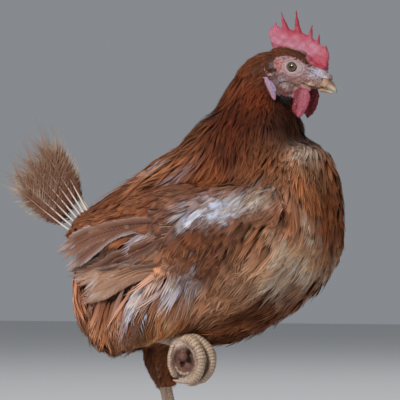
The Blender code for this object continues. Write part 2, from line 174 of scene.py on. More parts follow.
class Paint:
    def __init__(self, name, roughness, **constants):
        self.material = bpy.data.materials.new(name)
        self.material.use_nodes = True
        self.tree = self.material.node_tree
        self.shader = self.tree.nodes["Principled BSDF"]
        self.shader.inputs["Roughness"].default_value = roughness
        for socket, value in constants.items():
            self.shader.inputs[socket.replace("_", " ")].default_value = value

    def add(self, kind, settings=None, inputs=None, output=0):
        node = self.tree.nodes.new(kind)
        for name, value in (settings or {}).items():
            if name == "stops":
                ramp = node.color_ramp
                while len(ramp.elements) < len(value):
                    ramp.elements.new(0.5)
                for element, (place, colour) in zip(ramp.elements, value):
                    element.position = place
                    element.color = (*colour, 1)
            else:
                setattr(node, name, value)
        for name, value in (inputs or {}).items():
            self.feed(node.inputs[name], value)
        return Socket(self, node.outputs[output])

    def feed(self, socket, value):
        if isinstance(value, Socket):
            self.tree.links.new(value.output, socket)
        elif hasattr(socket.default_value, "__len__") and len(value) < len(socket.default_value):
            socket.default_value = (*value, 1)
        else:
            socket.default_value = value

    def set(self, name, value):
        self.feed(self.shader.inputs[name], value)

    def blend(self, first, second, share):
        return self.add(
            "ShaderNodeMix",
            {"data_type": "RGBA", "clamp_factor": True},
            {0: share, 6: first, 7: second},
            output=2,
        )

    def scaled(self, colour, factor):
        # the colour made lighter or darker by a value
        return self.add("ShaderNodeVectorMath", {"operation": "SCALE"}, {0: colour, "Scale": factor})

    def place(self, scale=(1, 1, 1), uv=None, location=(0, 0, 0), rotation=(0, 0, 0)):
        if uv:
            source = self.add("ShaderNodeUVMap", {"uv_map": uv})
        else:
            source = self.add("ShaderNodeTexCoord", output=3)
        return self.add("ShaderNodeMapping", {}, {0: source, 1: location, 2: rotation, 3: scale})

    def noise(self, where, scale, detail=3, roughness=0.55):
        inputs = {"Vector": where, "Scale": scale, "Detail": detail, "Roughness": roughness}
        return self.add("ShaderNodeTexNoise", {}, inputs)

    def cells(self, where, scale, feature="F1"):
        return self.add("ShaderNodeTexVoronoi", {"feature": feature}, {"Vector": where, "Scale": scale})

    def tint(self):
        return self.add("ShaderNodeAttribute", {"attribute_name": "tint"})

    def bump(self, height, distance, strength):
        inputs = {"Height": height, "Distance": distance, "Strength": strength}
        self.set("Normal", self.add("ShaderNodeBump", {}, inputs))


def cadCopy(names, bm=None):
    bm = bm or bmesh.new()
    for name in names:
        bm.from_mesh(nodes[name].data)
    bmesh.ops.remove_doubles(bm, verts=bm.verts, dist=1e-5)
    return bm


def objectFrom(name, mesh):
    made = bpy.data.objects.new(name, mesh)
    bpy.context.scene.collection.objects.link(made)
    return made


def remeshed(bm, voxel, rounds):
    # closed forms fused into one smooth form
    mesh = bpy.data.meshes.new("forms")
    bm.to_mesh(mesh)
    bm.free()
    forms = objectFrom("forms", mesh)
    fuse = forms.modifiers.new("fuse", "REMESH")
    fuse.mode = "VOXEL"
    fuse.voxel_size = voxel
    soften = forms.modifiers.new("soften", "SMOOTH")
    soften.factor = 0.5
    soften.iterations = rounds
    made = bpy.data.meshes.new_from_object(forms.evaluated_get(bpy.context.evaluated_depsgraph_get()))
    bpy.data.objects.remove(forms)
    return made


def pointsOf(mesh):
    points = np.empty(len(mesh.vertices) * 3)
    mesh.vertices.foreach_get("co", points)
    return points.reshape(-1, 3)


def normalsOf(mesh):
    normals = np.empty(len(mesh.vertices) * 3)
    mesh.vertex_normals.foreach_get("vector", normals)
    return normals.reshape(-1, 3)


def trianglesOf(mesh):
    mesh.calc_loop_triangles()
    corners = np.empty(len(mesh.loop_triangles) * 3, int)
    mesh.loop_triangles.foreach_get("vertices", corners)
    return corners.reshape(-1, 3)


def move(mesh, points):
    mesh.vertices.foreach_set("co", np.ascontiguousarray(points, float).ravel())
    mesh.update()


def treeOf(mesh):
    return BVHTree.FromPolygons([v.co for v in mesh.vertices], [p.vertices for p in mesh.polygons])


def nearest(tree, points):
    found = [tree.find_nearest(Vector(p)) for p in points]
    places = np.array([f[0] for f in found])
    normals = np.array([f[1] for f in found])
    return places, normals, np.array([f[2] for f in found]), np.array([f[3] for f in found])


def colourVerts(mesh, colours):
    attribute = mesh.attributes.new("tint", "FLOAT_COLOR", "POINT")
    full = np.ones((len(mesh.vertices), 4), np.float32)
    full[:, :3] = np.clip(colours, 0, 1)
    attribute.data.foreach_set("color", full.ravel())


# Each name: place in mm (ahead of the hen's zero, outwards, up); the way the feathers point; their
# length and half width in mm; how deep their roots sit in mm; how loose they are; then the colour at
# the middle and the colour at the tip.
plumage = {
    "forehead": (
        (108, 4, 381), (-0.9, 0.3, 0.1), 4.0, 0.8, 0.5, 0.3,
        (88, 48, 37), (114, 72, 59),
    ),
    "crown": (
        (88, 8, 381), (-1, 0.25, 0.05), 7, 1.3, 0.7, 0.3,
        (90, 50, 37), (123, 75, 57),
    ),
    "nape": (
        (64, 11, 376), (-0.88, 0.1, -0.45), 14, 2.2, 1.5, 0.2,
        (82, 44, 28), (123, 74, 48),
    ),
    "earBehind": (
        (70, 18, 352), (-0.55, 0.3, -0.8), 15, 2.1, 1.5, 0.2,
        (79, 39, 22), (118, 69, 43),
    ),
    "hindneck": (
        (38, 8, 352), (-0.5, 0.05, -0.86), 28, 3.0, 3, 0.2,
        (86, 42, 22), (126, 73, 42),
    ),
    "hindneckLow": (
        (8, 12, 315), (-0.6, 0.06, -0.8), 44, 3.8, 4.5, 0.25,
        (67, 32, 17), (103, 59, 34),
    ),
    "neckSideHigh": (
        (64, 24, 335), (-0.25, 0.25, -0.93), 24, 2.8, 2.5, 0.2,
        (81, 32, 15), (119, 60, 32),
    ),
    "neckSide": (
        (48, 38, 315), (-0.22, 0.35, -0.9), 36, 3.4, 4, 0.2,
        (62, 25, 12), (99, 48, 24),
    ),
    "neckSideLow": (
        (45, 50, 285), (-0.25, 0.2, -0.95), 50, 4.2, 5, 0.3,
        (62, 26, 13), (104, 55, 30),
    ),
    "throat": (
        (92, 8, 334), (0.0, 0.2, -1), 14, 2.2, 1.5, 0.3,
        (38, 19, 16), (96, 54, 38),
    ),
    "foreneck": (
        (92, 20, 308), (0.15, 0.3, -0.95), 26, 3.4, 3, 0.35,
        (48, 24, 16), (88, 53, 36),
    ),
    "capeBack": (
        (-12, 22, 297), (-0.85, 0.12, -0.5), 58, 4.8, 5, 0.6,
        (91, 52, 31), (139, 93, 63),
    ),
    "capeSide": (
        (20, 60, 258), (-0.42, 0.2, -0.88), 52, 4.6, 5, 0.4,
        (92, 45, 26), (148, 91, 56),
    ),
    "capeFront": (
        (70, 56, 268), (-0.1, 0.25, -0.96), 40, 4.6, 5, 0.4,
        (91, 50, 30), (138, 89, 60),
    ),
    "capeEnd": (
        (-45, 30, 276), (-0.93, 0.1, -0.36), 54, 5.0, 5, 0.8,
        (132, 82, 56), (199, 147, 112),
    ),
    "back": (
        (-75, 18, 258), (-0.97, 0.05, -0.2), 46, 6.2, 5, 0.3,
        (112, 66, 44), (150, 98, 70),
    ),
    "backSide": (
        (-75, 48, 243), (-0.9, 0.1, -0.42), 48, 6.5, 5, 0.3,
        (112, 66, 44), (150, 98, 70),
    ),
    "tailCover": (
        (-112, 10, 238), (-0.75, 0.0, 0.66), 36, 5.2, 6, 0.3,
        (120, 74, 52), (160, 108, 80),
    ),
    "tailSide": (
        (-118, 28, 212), (-0.9, 0.05, -0.1), 34, 5.6, 7, 0.3,
        (118, 72, 50), (156, 106, 78),
    ),
    "vent": (
        (-128, 12, 178), (-0.4, 0.05, -0.9), 40, 7.0, 10, 0.3,
        (128, 84, 60), (166, 118, 90),
    ),
    "rear": (
        (-108, 45, 165), (-0.42, 0.1, -0.9), 52, 9.5, 8, 0.75,
        (181, 122, 96), (220, 160, 132),
    ),
    "rearLow": (
        (-85, 38, 118), (-0.2, -0.05, -1), 44, 8.5, 8, 0.8,
        (132, 86, 64), (177, 131, 104),
    ),
    "flank": (
        (-50, 62, 150), (-0.42, 0.05, -0.9), 54, 10, 8, 0.6,
        (174, 124, 98), (204, 162, 138),
    ),
    "flankMiddle": (
        (0, 66, 150), (-0.45, 0.05, -0.9), 52, 10, 8, 0.6,
        (180, 131, 104), (208, 170, 148),
    ),
    "flankLow": (
        (-20, 55, 112), (-0.25, -0.05, -0.97), 42, 8.5, 7, 0.7,
        (210, 138, 98), (235, 190, 143),
    ),
    "belly": (
        (0, 20, 104), (-0.9, 0.05, -0.25), 38, 8.5, 8, 0.8,
        (84, 48, 30), (122, 76, 52),
    ),
    "bellyFront": (
        (60, 25, 122), (-0.93, 0.1, -0.35), 40, 9, 8, 0.6,
        (78, 44, 27), (116, 72, 48),
    ),
    "breastUnder": (
        (95, 30, 150), (-0.8, 0.1, -0.6), 40, 9, 7, 0.5,
        (100, 58, 38), (146, 98, 70),
    ),
    "breastLow": (
        (102, 48, 175), (-0.55, 0.1, -0.83), 38, 8.5, 7, 0.7,
        (153, 109, 80), (210, 176, 145),
    ),
    "breastFront": (
        (134, 15, 225), (-0.05, 0.25, -1), 38, 9, 6, 0.35,
        (112, 64, 38), (159, 100, 66),
    ),
    "breastUpper": (
        (115, 36, 275), (0.05, 0.4, -0.9), 30, 7.5, 5, 0.5,
        (131, 85, 61), (182, 138, 110),
    ),
    "breastMiddle": (
        (112, 50, 235), (-0.15, 0.2, -0.97), 42, 9.5, 6, 0.4,
        (139, 86, 57), (176, 122, 86),
    ),
    "breastSide": (
        (82, 64, 205), (-0.45, 0.1, -0.88), 46, 10, 7, 0.5,
        (145, 101, 75), (166, 128, 102),
    ),
    "breastSideLow": (
        (48, 66, 165), (-0.55, 0.0, -0.83), 50, 10, 8, 0.5,
        (141, 97, 72), (168, 132, 108),
    ),
    "thighTucked": (
        (-30, 60, 118), (-0.15, -0.1, -0.98), 32, 7.0, 6, 0.6,
        (81, 45, 29), (116, 74, 50),
    ),
    "thighLow": (
        (-40, 30, 92), (-0.1, -0.1, -1), 24, 4.8, 4, 0.6,
        (92, 50, 33), (135, 85, 59),
    ),
    "tuft": (
        (-40, 13, 68), (-0.05, 0.0, -1), 15, 2.6, 1.5, 0.5,
        (114, 65, 43), (166, 109, 78),
    ),
    "wingEdge": (
        (88, 66, 228), (-0.6, 0.1, -0.8), 18, 5.0, 3, 0.3,
        (120, 76, 58), (158, 112, 90),
    ),
    "wingBow": (
        (58, 80, 232), (-0.8, 0.03, -0.6), 24, 6.0, 3, 0.3,
        (110, 72, 56), (140, 101, 81),
    ),
    "wingTop": (
        (10, 80, 242), (-0.95, 0.0, -0.3), 30, 6.5, 3, 0.25,
        (106, 68, 50), (137, 95, 76),
    ),
    "wingMiddle": (
        (20, 84, 214), (-0.72, 0.02, -0.7), 40, 9.0, 3.5, 0.4,
        (89, 55, 38), (108, 70, 49),
    ),
    "wingLow": (
        (30, 82, 183), (-0.66, 0.0, -0.75), 44, 9.5, 4, 0.5,
        (106, 62, 42), (150, 104, 80),
    ),
    "wingRear": (
        (-40, 78, 208), (-0.9, -0.05, -0.42), 44, 9.0, 3.5, 0.3,
        (118, 69, 46), (151, 99, 71),
    ),
    "wingEnd": (
        (-90, 60, 200), (-0.93, -0.2, -0.3), 40, 7.5, 2.5, 0.3,
        (120, 71, 48), (155, 103, 76),
    ),
}
plumageCast = (1.0, 0.86, 0.72)  # the whole coat a little warmer than those colours
guideNames = list(plumage)
guidePlaces = np.array([row[0] for row in plumage.values()]) / 1000
guideLies = unit(np.array([row[1] for row in plumage.values()], float))
guideSizes = np.array([[*(size / 1000 for size in row[2:5]), row[5]] for row in plumage.values()])
guideTones = np.array([[*tone(*row[6]), *tone(*row[7])] for row in plumage.values()])
guideTones = guideTones * np.tile(plumageCast, 2)
guideReach = 0.005  # nearer than this, one guide place rules alone

# Worn places, where the pale feather bases show, with painted sheen in the same pale bluish patches:
# ahead of zero, up, half length and half height in mm, slope in degrees, strength.
wornAndSheenPlaces = (
    (52, 235, 32, 9.0, 10, 1.6),
    (18, 224, 18, 7.0, 35, 1.2),
    (-29, 203, 19, 3.2, 20, 1.0),
    (-52, 196, 22, 2.6, 24, 0.8),
    (-46, 184, 26, 3.4, 24, 0.6),
    (-72, 160, 11, 5.0, 68, 1.0),
    (-54, 154, 14, 6.0, 62, 1.2),
    (-38, 143, 22, 5.0, 66, 1.1),
    (-4, 159, 19, 10, 8, 1.3),
    (122, 214, 16, 5, -68, 0.6),
    (110, 182, 20, 12, -55, 1.2),
    (92, 160, 14, 10, -50, 0.9),
    (-84, 146, 12, 5, 70, 1.0),
    (112, 286, 18, 6, -25, 0.7),
    (-4, 262, 16, 5, 30, 0.25),
    (-30, 274, 14, 4, 30, 0.5),
)
# the pale of the worn places, with a painted bluish sheen in it
wornSheenTone = tone(190, 196, 216)
wornSheenWarm = tone(208, 190, 170)


def guideWeights(points):
    local = points - np.array(zero)
    local[:, 1] = abs(local[:, 1])
    gaps = ((local[:, None] - guidePlaces) ** 2).sum(2)
    weights = 1 / (gaps + guideReach**2) ** 2.5
    return weights / weights.sum(1, keepdims=True)


def lieAt(points):
    lies = guideWeights(points) @ guideLies
    lies[:, 1] *= np.sign(points[:, 1] + 1e-9)
    return unit(lies)


def sizesAt(points):
    return guideWeights(points) @ guideSizes


def tonesAt(points):
    return guideWeights(points) @ guideTones


def wornAndSheenAt(points):
    # pale worn patches with painted sheen over them
    local = (points - np.array(zero)) * 1000
    wornAndSheen = np.zeros(len(points))
    wander = 2.5 * ripple(points, 0.02, 3)  # mm, so that their edges aren't straight
    for ahead, up, long, high, slope, strength in wornAndSheenPlaces:
        turn = math.radians(slope)
        x = local[:, 0] - ahead
        z = local[:, 2] - up + wander
        along = x * math.cos(turn) + z * math.sin(turn)
        across = z * math.cos(turn) - x * math.sin(turn)
        here = strength * bell(along / long, 1) * bell(across / high, 1)
        wornAndSheen = np.maximum(wornAndSheen, here * step(2, 22, abs(local[:, 1])))
    return wornAndSheen


def combFoot(x):
    # how low the comb's flesh reaches on the side of the forehead
    return np.interp(x, (0.007, 0.0085, 0.0153, 0.0222, 0.0300), (0.0160, 0.0118, 0.0062, 0.0046, 0.0040))


def feathered(points):
    # 1 where feathers grow, 0 on the bare face and the feet
    q = toHead(points)
    x, z = q[:, 0], q[:, 2]
    wave = 0.0006 * np.sin(x * 900) + 0.0005 * np.sin(x * 2100 + 1)
    brow = 0.0100 - np.where(x < -0.004, 24, 11) * (x + 0.004) ** 2 + wave
    above = (z > brow) & (x < 0.0175) & (z < combFoot(x))
    behind = x < np.where(z < -0.006, -0.0246 - 0.80 * (z + 0.0090), -0.0190 - 0.1 * z) + wave
    below = z < -0.0285 + 0.15 * np.clip(x, 0, 1) + wave
    ear = np.hypot((x + 0.0195) / 0.0056, (z + 0.0068) / 0.0028) < 1 + wave * 200  # coverts over the ear
    head = (above | behind | below | ear).astype(float)
    return np.where(points[:, 2] > 0.31, head, 1.0)


def alongLie(points, size, seed):
    # unevenness drawn out the way the feathers lie
    lies = lieAt(points)
    total = sum(ripple(points + lies * t, size, seed) for t in np.linspace(-0.024, 0.024, 9))
    return total / 5.0


def shareOf(points, prefix):
    weights = guideWeights(points)
    return weights[:, [name.startswith(prefix) for name in guideNames]].sum(1)


def addBall(bm, place, radii, segments=16):
    matrix = headFrame @ Matrix.Translation(place) @ Matrix.Diagonal((*radii, 1))
    bmesh.ops.create_uvsphere(bm, u_segments=segments, v_segments=segments // 2, radius=1, matrix=matrix)


def fillThroat(bm):
    addBall(bm, (-0.0010, 0, -0.0290), (0.0095, 0.0088, 0.0090))
    addBall(bm, (0.0045, 0, -0.0215), (0.0110, 0.0082, 0.0065))
    addBall(bm, (-0.0085, 0, -0.0310), (0.0100, 0.0110, 0.0120))


# the surface that the coat fills, out to the feather tips
coat = {
    "drapes": 0.0062,  # how far the loose plumage swells into folds
    "wingProud": 0.0042,
    "capeProud": 0.0012,
    "hindStart": 0.090,  # behind this the rear is drawn in under the wing tips
    "hindTaken": 0.30,
    "rearFuller": 0.010,  # how far the fluff below the rear stands out backwards
    "lifted": 0.20,  # how much the fluff round the tucked thigh is drawn up
}


def growCoatSurface():
    names = ["breast", "trunk", "rump", "neck_lower", "neck_upper", "head", "thigh_left", "thigh_right"]
    names += [f"wing_{side}_{part}" for side in ("left", "right") for part in ("shoulder", "flight")]
    bm = cadCopy(names)
    fillThroat(bm)
    mesh = remeshed(bm, 0.0021, 4)
    points = pointsOf(mesh)
    low = step(0.345, 0.300, points[:, 2])  # the head keeps its shape
    swell = coat["drapes"] * sizesAt(points)[:, 3] * alongLie(points, 0.0085, 71)
    swell += 0.0007 * alongLie(points, 0.006, 72)
    swell += coat["wingProud"] * step(0.42, 0.62, shareOf(points, "wing"))
    swell += coat["capeProud"] * step(0.40, 0.60, shareOf(points, "cape"))
    points += normalsOf(mesh) * (swell * low)[:, None]
    hind = zero.x - coat["hindStart"] - points[:, 0]
    points[:, 0] += coat["hindTaken"] * np.clip(hind, 0, 1) * step(0.225, 0.190, points[:, 2])
    low = bell(points[:, 2] - 0.112, 0.022) * step(-0.050, -0.085, points[:, 0] - zero.x)
    points += np.array((-0.95, 0, -0.25)) * (coat["rearFuller"] * low)[:, None]
    under = step(0.002, -0.014, points[:, 1]) * step(zero.x + 0.010, zero.x - 0.030, points[:, 0])
    points[:, 2] += under * coat["lifted"] * np.clip(0.128 - points[:, 2], 0, 1)
    move(mesh, points)
    return mesh


coatSurface = growCoatSurface()
coatTree = treeOf(coatSurface)
print("coat surface", len(coatSurface.vertices))


face = {
    "lidRadius": 0.0054,
    "lidRoll": 0.00085,
    "openingRadius": 0.0047,
    "combRoot": 0.0036,
    "eyeRadius": 0.0060,
    "eyeAside": 0.0095,  # the middle of the eyeball, out from the head's middle
    "lobeAhead": 0.0018,  # the ear lobe's middle, ahead of its line
    "lobeTop": -0.0095,
    "cutBelow": 0.030,  # the head's own skin ends this far below the eyes, under the hackles
    "cheekFolds": ((0.0104, 0.35), (0.0122, 0.3), (0.0140, 0.28)),  # radius round the eye, depth in mm
    # balls that fill out the forms: ahead, aside and up from the head's middle, then their radii
    "middleBalls": (
        ((-0.0275, 0, 0.0185), (0.0052, 0.0030, 0.0062)),  # the comb's hind lobe
        ((-0.0235, 0, 0.0160), (0.0060, 0.0032, 0.0050)),
        ((0.0262, 0, 0.0085), (0.0040, 0.0034, 0.0060)),
        ((0.0318, 0, -0.0012), (0.0050, 0.0042, 0.0032)),  # skin over the root of the bill
    ),
    "sideBalls": (
        ((0.0316, 0.0042, -0.0028), (0.0046, 0.0024, 0.0022)),  # flap over the nostril
        ((0.0322, 0.0036, -0.0078), (0.0046, 0.0030, 0.0040)),
        ((0.0150, 0.0074, -0.0160), (0.0070, 0.0022, 0.0036)),  # where the wattle hangs
        ((-0.0030, 0.0070, -0.0205), (0.0075, 0.0058, 0.0062)),
        ((0.0165, 0.0078, -0.0122), (0.0090, 0.0016, 0.0013)),  # the corner of the mouth
        ((-0.0180, 0.0140, -0.0130), (0.0042, 0.0050, 0.0060)),  # where the lobe hangs
    ),
}
# Marks on the bare face: colour, strength, then ahead, up, half width and half height of a patch,
# or radius and width of a ring round the eye.
faceMarks = (
    ((150, 68, 66), 0.95, (-0.0145, -0.0005, 0.0072, 0.0074)),  # red behind the eye
    ((173, 173, 187), 1, (0.0235, 0.0005, 0.0080, 0.0050)),  # painted bluish highlight in front of it
    ((128, 99, 94), 0.6, (0.0120, 0.0040, 0.0060, 0.0040)),
    ((160, 120, 92), 0.95, (0.0230, -0.0125, 0.0150, 0.0032)),  # yellow along the mouth
    ((167, 144, 117), 0.9, (0.0335, -0.0090, 0.0040, 0.0050)),
    ((104, 80, 71), 0.8, (-0.0030, -0.0180, 0.0100, 0.0056)),  # painted shade under the cheek
    ((155, 156, 170), 0.9, (-0.0085, -0.0145, 0.0034, 0.0026)),
    ((82, 60, 51), 0.8, (-0.0160, -0.0110, 0.0034, 0.0036)),  # the ear
    ((162, 134, 134), 0.6, (0.0066, 0.0014)),  # the lids and the folds round them
    ((175, 156, 151), 0.8, (face["lidRadius"] + 0.0002, 0.0006)),
    ((175, 165, 163), 0.7, (0.0080, 0, 0.0018, 0.0028)),
    # painted shade in the fold round the lids
    ((84, 56, 54), 0.6, (0.0078, 0.00045)),
    ((168, 138, 138), 0.4, (0.0090, 0.0009)),
    ((51, 31, 27), 0.95, (0.0318, -0.0048, 0.0028, 0.0012)),  # the nostril
    ((182, 178, 177), 0.8, (0.0325, -0.0020, 0.0030, 0.0018)),
    ((128, 44, 46), 0.9, (-0.0025, -0.0275, 0.0040, 0.0022)),  # red skin below the jaw
)


def lobeLine(z):
    # the ear lobe hangs along this line, further ahead lower down
    return -0.0226 + 0.0200 * (z + 0.0090) / -0.0250


def asideOfLobe(x, z):
    return x - lobeLine(z) - face["lobeAhead"]


def mouthLine(x):
    return -0.0136 - 0.10 * (x - 0.02)


def fromEye(q):
    # distance from the middle of the eye, as the rings of skin lie, drawn out to the front
    x, z = q[:, 0], q[:, 2]
    return np.hypot(x * np.where(x > 0, 0.72, 1), z * 1.10) + 0.00035 * ripple(q, 0.007, 6)


def skullTop(x):
    return 0.0160 - 13 * (x + 0.007) ** 2 * np.where(x > -0.007, 0.72, 1.6)


def hangingFlaps(kind):
    # wattles or ear lobes, hung a little further forward than the solids
    if kind == "wattle":
        bm = cadCopy(["wattle_left", "wattle_right"])
    else:
        bm = cadCopy(["ear_lobe_left", "ear_lobe_right"])
    for vert in bm.verts:
        place = headFrame.inverted() @ vert.co
        side = math.copysign(1, place.y)
        if kind == "wattle":
            drop = (-0.015 - place.z) / 0.031  # 0 where the wattle hangs, 1 at its end
            aside = place.x - 0.0125 + 0.0057 * drop
            place.x += aside * 0.40 * math.exp(-(((drop - 0.88) / 0.22) ** 2))
            place += Vector((0.0028 + 0.0034 * max(0, drop), 0, -0.0012))
            if side > 0:
                place += Vector((0.0026, 0, 0.0022))
        else:
            aside = place.x - lobeLine(place.z)
            place.z = -0.0345 + (place.z + 0.0345) * 0.78
            place.x = lobeLine(place.z) + aside * 1.5 + 0.0016
            place.y += side * 0.0034
        vert.co = headFrame @ place
    return bm


def addForms(bm, forms, name):
    mesh = bpy.data.meshes.new(name)
    forms.to_mesh(mesh)
    forms.free()
    bm.from_mesh(mesh)


def headForms():
    bm = bmesh.new()
    neck = cadCopy(["neck_upper"])
    bmesh.ops.bisect_plane(
        neck,
        geom=neck.verts[:] + neck.edges[:] + neck.faces[:],
        plane_co=(0, 0, headMiddle.z - face["cutBelow"]),
        plane_no=(0, 0, -1),
        clear_outer=True,
    )
    bmesh.ops.holes_fill(neck, edges=neck.edges)
    addForms(bm, neck, "neckEnd")
    cadCopy(["head", "comb"], bm)
    for kind in ("wattle", "lobe"):
        addForms(bm, hangingFlaps(kind), kind)
    fillThroat(bm)
    for place, radii in face["middleBalls"]:
        addBall(bm, place, radii)
    for x in np.arange(0.010, 0.029, 0.0018):  # flesh of the comb that spreads over the forehead
        place = (x, 0, float(combFoot(x)) + 0.0016)
        addBall(bm, place, (0.0022, 0.0088 - 0.14 * (x - 0.01), 0.0026), segments=12)
    for x in np.arange(-0.027, 0.0285, 0.0022):  # the comb's foot on the skull
        addBall(bm, (x, 0, float(skullTop(x)) + 0.0012), (0.0026, face["combRoot"], 0.0036), segments=10)
    for side in (-1, 1):
        addBall(bm, (0.0, side * face["eyeAside"], 0), (0.0062, 0.0066, 0.0062))  # fills the eye's socket
        for turn in range(40):  # the rolled rim of the lids, drawn out a little to the front
            angle = turn * math.tau / 40
            stretch = 1 + 0.24 * max(0, math.cos(angle + 0.15)) ** 5
            x = face["lidRadius"] * stretch * math.cos(angle)
            z = 0.94 * face["lidRadius"] * math.sin(angle)
            y = 0.0146 - 0.0006 * math.cos(angle) - 0.0008 * abs(math.sin(angle))
            addBall(bm, (x, side * y, z), (face["lidRoll"],) * 3, segments=8)
        for (ahead, aside, up), radii in face["sideBalls"]:
            addBall(bm, (ahead, side * aside, up), radii)
    return bm


def distanceTo(bm, points):
    tree = BVHTree.FromBMesh(bm)
    bm.free()
    return nearest(tree, points)[3]


def headMasks(points):
    # how far each point is on the comb, a wattle or an ear lobe, and its distance to the lobes
    q = toHead(points)
    x, y, z = q[:, 0], abs(q[:, 1]), q[:, 2]
    comb = 1 - step(0.0003, 0.0016, distanceTo(cadCopy(["comb"]), points))
    behind = (y < 0.0050) & (z > skullTop(x) + 0.0010) & (x < 0.012) & (x > -0.036) & (z > 0.0105)
    forehead = step(-0.0006, 0.0006, z - combFoot(x)) * step(0.0060, 0.0085, x) * (x < 0.034)
    comb = np.maximum(comb, np.maximum(behind, forehead))
    wattle = 1 - step(0.0003, 0.0014, distanceTo(hangingFlaps("wattle"), points))
    toLobe = distanceTo(hangingFlaps("lobe"), points)
    lobe = 1 - step(0.0003, 0.0014, toLobe)
    lobe *= (abs(asideOfLobe(x, z)) < 0.0070) & (z < face["lobeTop"])
    return {"comb": comb, "wattle": wattle, "lobe": lobe}, toLobe


def shapeHead(mesh):
    points = pointsOf(mesh)
    normals = normalsOf(mesh)
    q = toHead(points)
    x, y, z = q[:, 0], abs(q[:, 1]), q[:, 2]
    masks, toLobe = headMasks(points)
    comb, wattle, lobe = masks["comb"], masks["wattle"], masks["lobe"]
    bare = feathered(points) < 0.5
    soft = (1 - comb) * (1 - wattle) * (1 - lobe) * bare * (y > 0.004)
    reach = fromEye(q)
    push = np.zeros(len(points))
    push -= 0.0004 * bell(reach - 0.0078, 0.0005) * soft * (y > 0.010)  # fold round the lids
    push += 0.0003 * bell(reach - 0.0088, 0.0008) * soft * (y > 0.010)
    for radius, depth in face["cheekFolds"]:
        ring = np.hypot(x + 0.001, z - 0.001)
        fold = bell(ring - radius - 0.0006 * ripple(q, 0.008, 5), 0.00045)
        push -= 0.001 * depth * fold * soft * step(0.001, -0.006, z)
    mouth = mouthLine(x) + 0.0007 * np.sin(x * 260)
    line = bell(z - mouth, 0.0007) * step(0.008, 0.0112, x) * (y > 0.003)
    push -= 0.0011 * line * bare
    push += 0.0004 * bell(z - mouth - 0.0016, 0.0008) * step(0.007, 0.012, x) * bare * (y > 0.003)
    nostril = np.hypot((x - 0.0318) / 0.0027, (z + 0.0048 - 0.2 * (x - 0.0318)) / 0.0011)
    push -= 0.0016 * bell(nostril, 1) * (y > 0.002)
    ear = np.hypot((x + 0.0175) / 0.0032, (z + 0.0088) / 0.0026)
    push -= 0.0012 * bell(ear, 1) * (y > 0.010)
    wrinkles = 0.00022 * ripple(q * (0.6, 1, 1.4), 0.0030, 8)
    push += soft * (wrinkles + 0.00014 * ripple(q * (0.7, 1, 1.3), 0.0015, 9))
    push += comb * (0.00018 * ripple(q, 0.0022, 10) + 0.0001 * ripple(q, 0.0012, 11))
    push += wattle * (0.00022 * ripple(q * (1.6, 1, 0.7), 0.0040, 12) + 0.00008 * ripple(q, 0.0014, 13))
    alongLobe = (z + 0.0090) / -0.0250
    groove = bell(asideOfLobe(x, z), 0.0013) * step(0.05, 0.3, alongLobe) * step(1.0, 0.8, alongLobe)
    push -= lobe * 0.0007 * groove
    push += lobe * 0.00016 * ripple(q * (1, 1, 2.2), 0.0026, 14)
    covered = feathered(points) * (1 - comb) * step(0.0012, 0.0030, toLobe) * (1 - wattle)
    sunk = 0.25 + 0.75 * step(-0.001, -0.014, points[:, 2] - headMiddle.z)  # the hackles lie over the rest
    push -= sizesAt(points)[:, 2] * sunk * covered
    moved = points + normals * push[:, None]
    q = toHead(moved)
    for side in (-1, 1):  # the opening between the lids
        inside = (np.hypot(q[:, 0], q[:, 2]) < face["openingRadius"]) & (q[:, 1] * side > 0.006)
        q[inside, 1] = side * np.minimum(q[inside, 1] * side, 0.0118)
    move(mesh, fromHead(q))
    return masks


def combTones(q, mottle):
    x, z = q[:, 0], q[:, 2]
    haze = np.clip(0.9 * bell(z - 0.0200, 0.0075) + 0.25 * mottle, 0, 1)
    red = tinted(plain((158, 50, 66), len(q)), (176, 114, 129), haze)
    red = tinted(red, (146, 29, 46), step(0.030, 0.048, z) * 0.8)  # the points
    red = tinted(red, (167, 60, 71), step(0.014, 0.024, x) * step(0.004, 0.012, z) * 0.6)
    red = tinted(red, (170, 102, 119), step(-0.022, -0.030, x) * 0.6)
    return tinted(red, (136, 56, 63), bell(z - combFoot(x), 0.0012) * 0.6)


def wattleTones(q, wattle, mottle, fine):
    # the near wattle darker along its rear, the far one dark all over as painted shade
    x, nearSide = q[:, 0], q[:, 1] < 0
    rearPart = np.percentile(x[(wattle > 0.5) & nearSide], 38)
    deep = step(0.0018, -0.0012, x - rearPart + 0.0012 * mottle) + 0.35 * step(0.2, 0.6, mottle)
    drop = tinted(plain((154, 74, 88), len(q)), (108, 14, 20), np.clip(deep, 0, 1) * 0.92)
    drop = tinted(drop, (104, 12, 16), (q[:, 1] > 0) * 0.85)
    return tinted(drop, (182, 128, 139), np.clip(fine - 0.3, 0, 1) * 0.5)


def lobeTones(q, fine):
    middle = abs(asideOfLobe(q[:, 0], q[:, 2]))
    pale = tinted(plain((144, 119, 144), len(q)), (160, 112, 120), step(0.0034, 0.0052, middle))
    pale = tinted(pale, (119, 99, 126), bell(middle, 0.0009) * 0.7)
    return tinted(pale, (178, 162, 174), np.clip(fine, 0, 1) * 0.5)


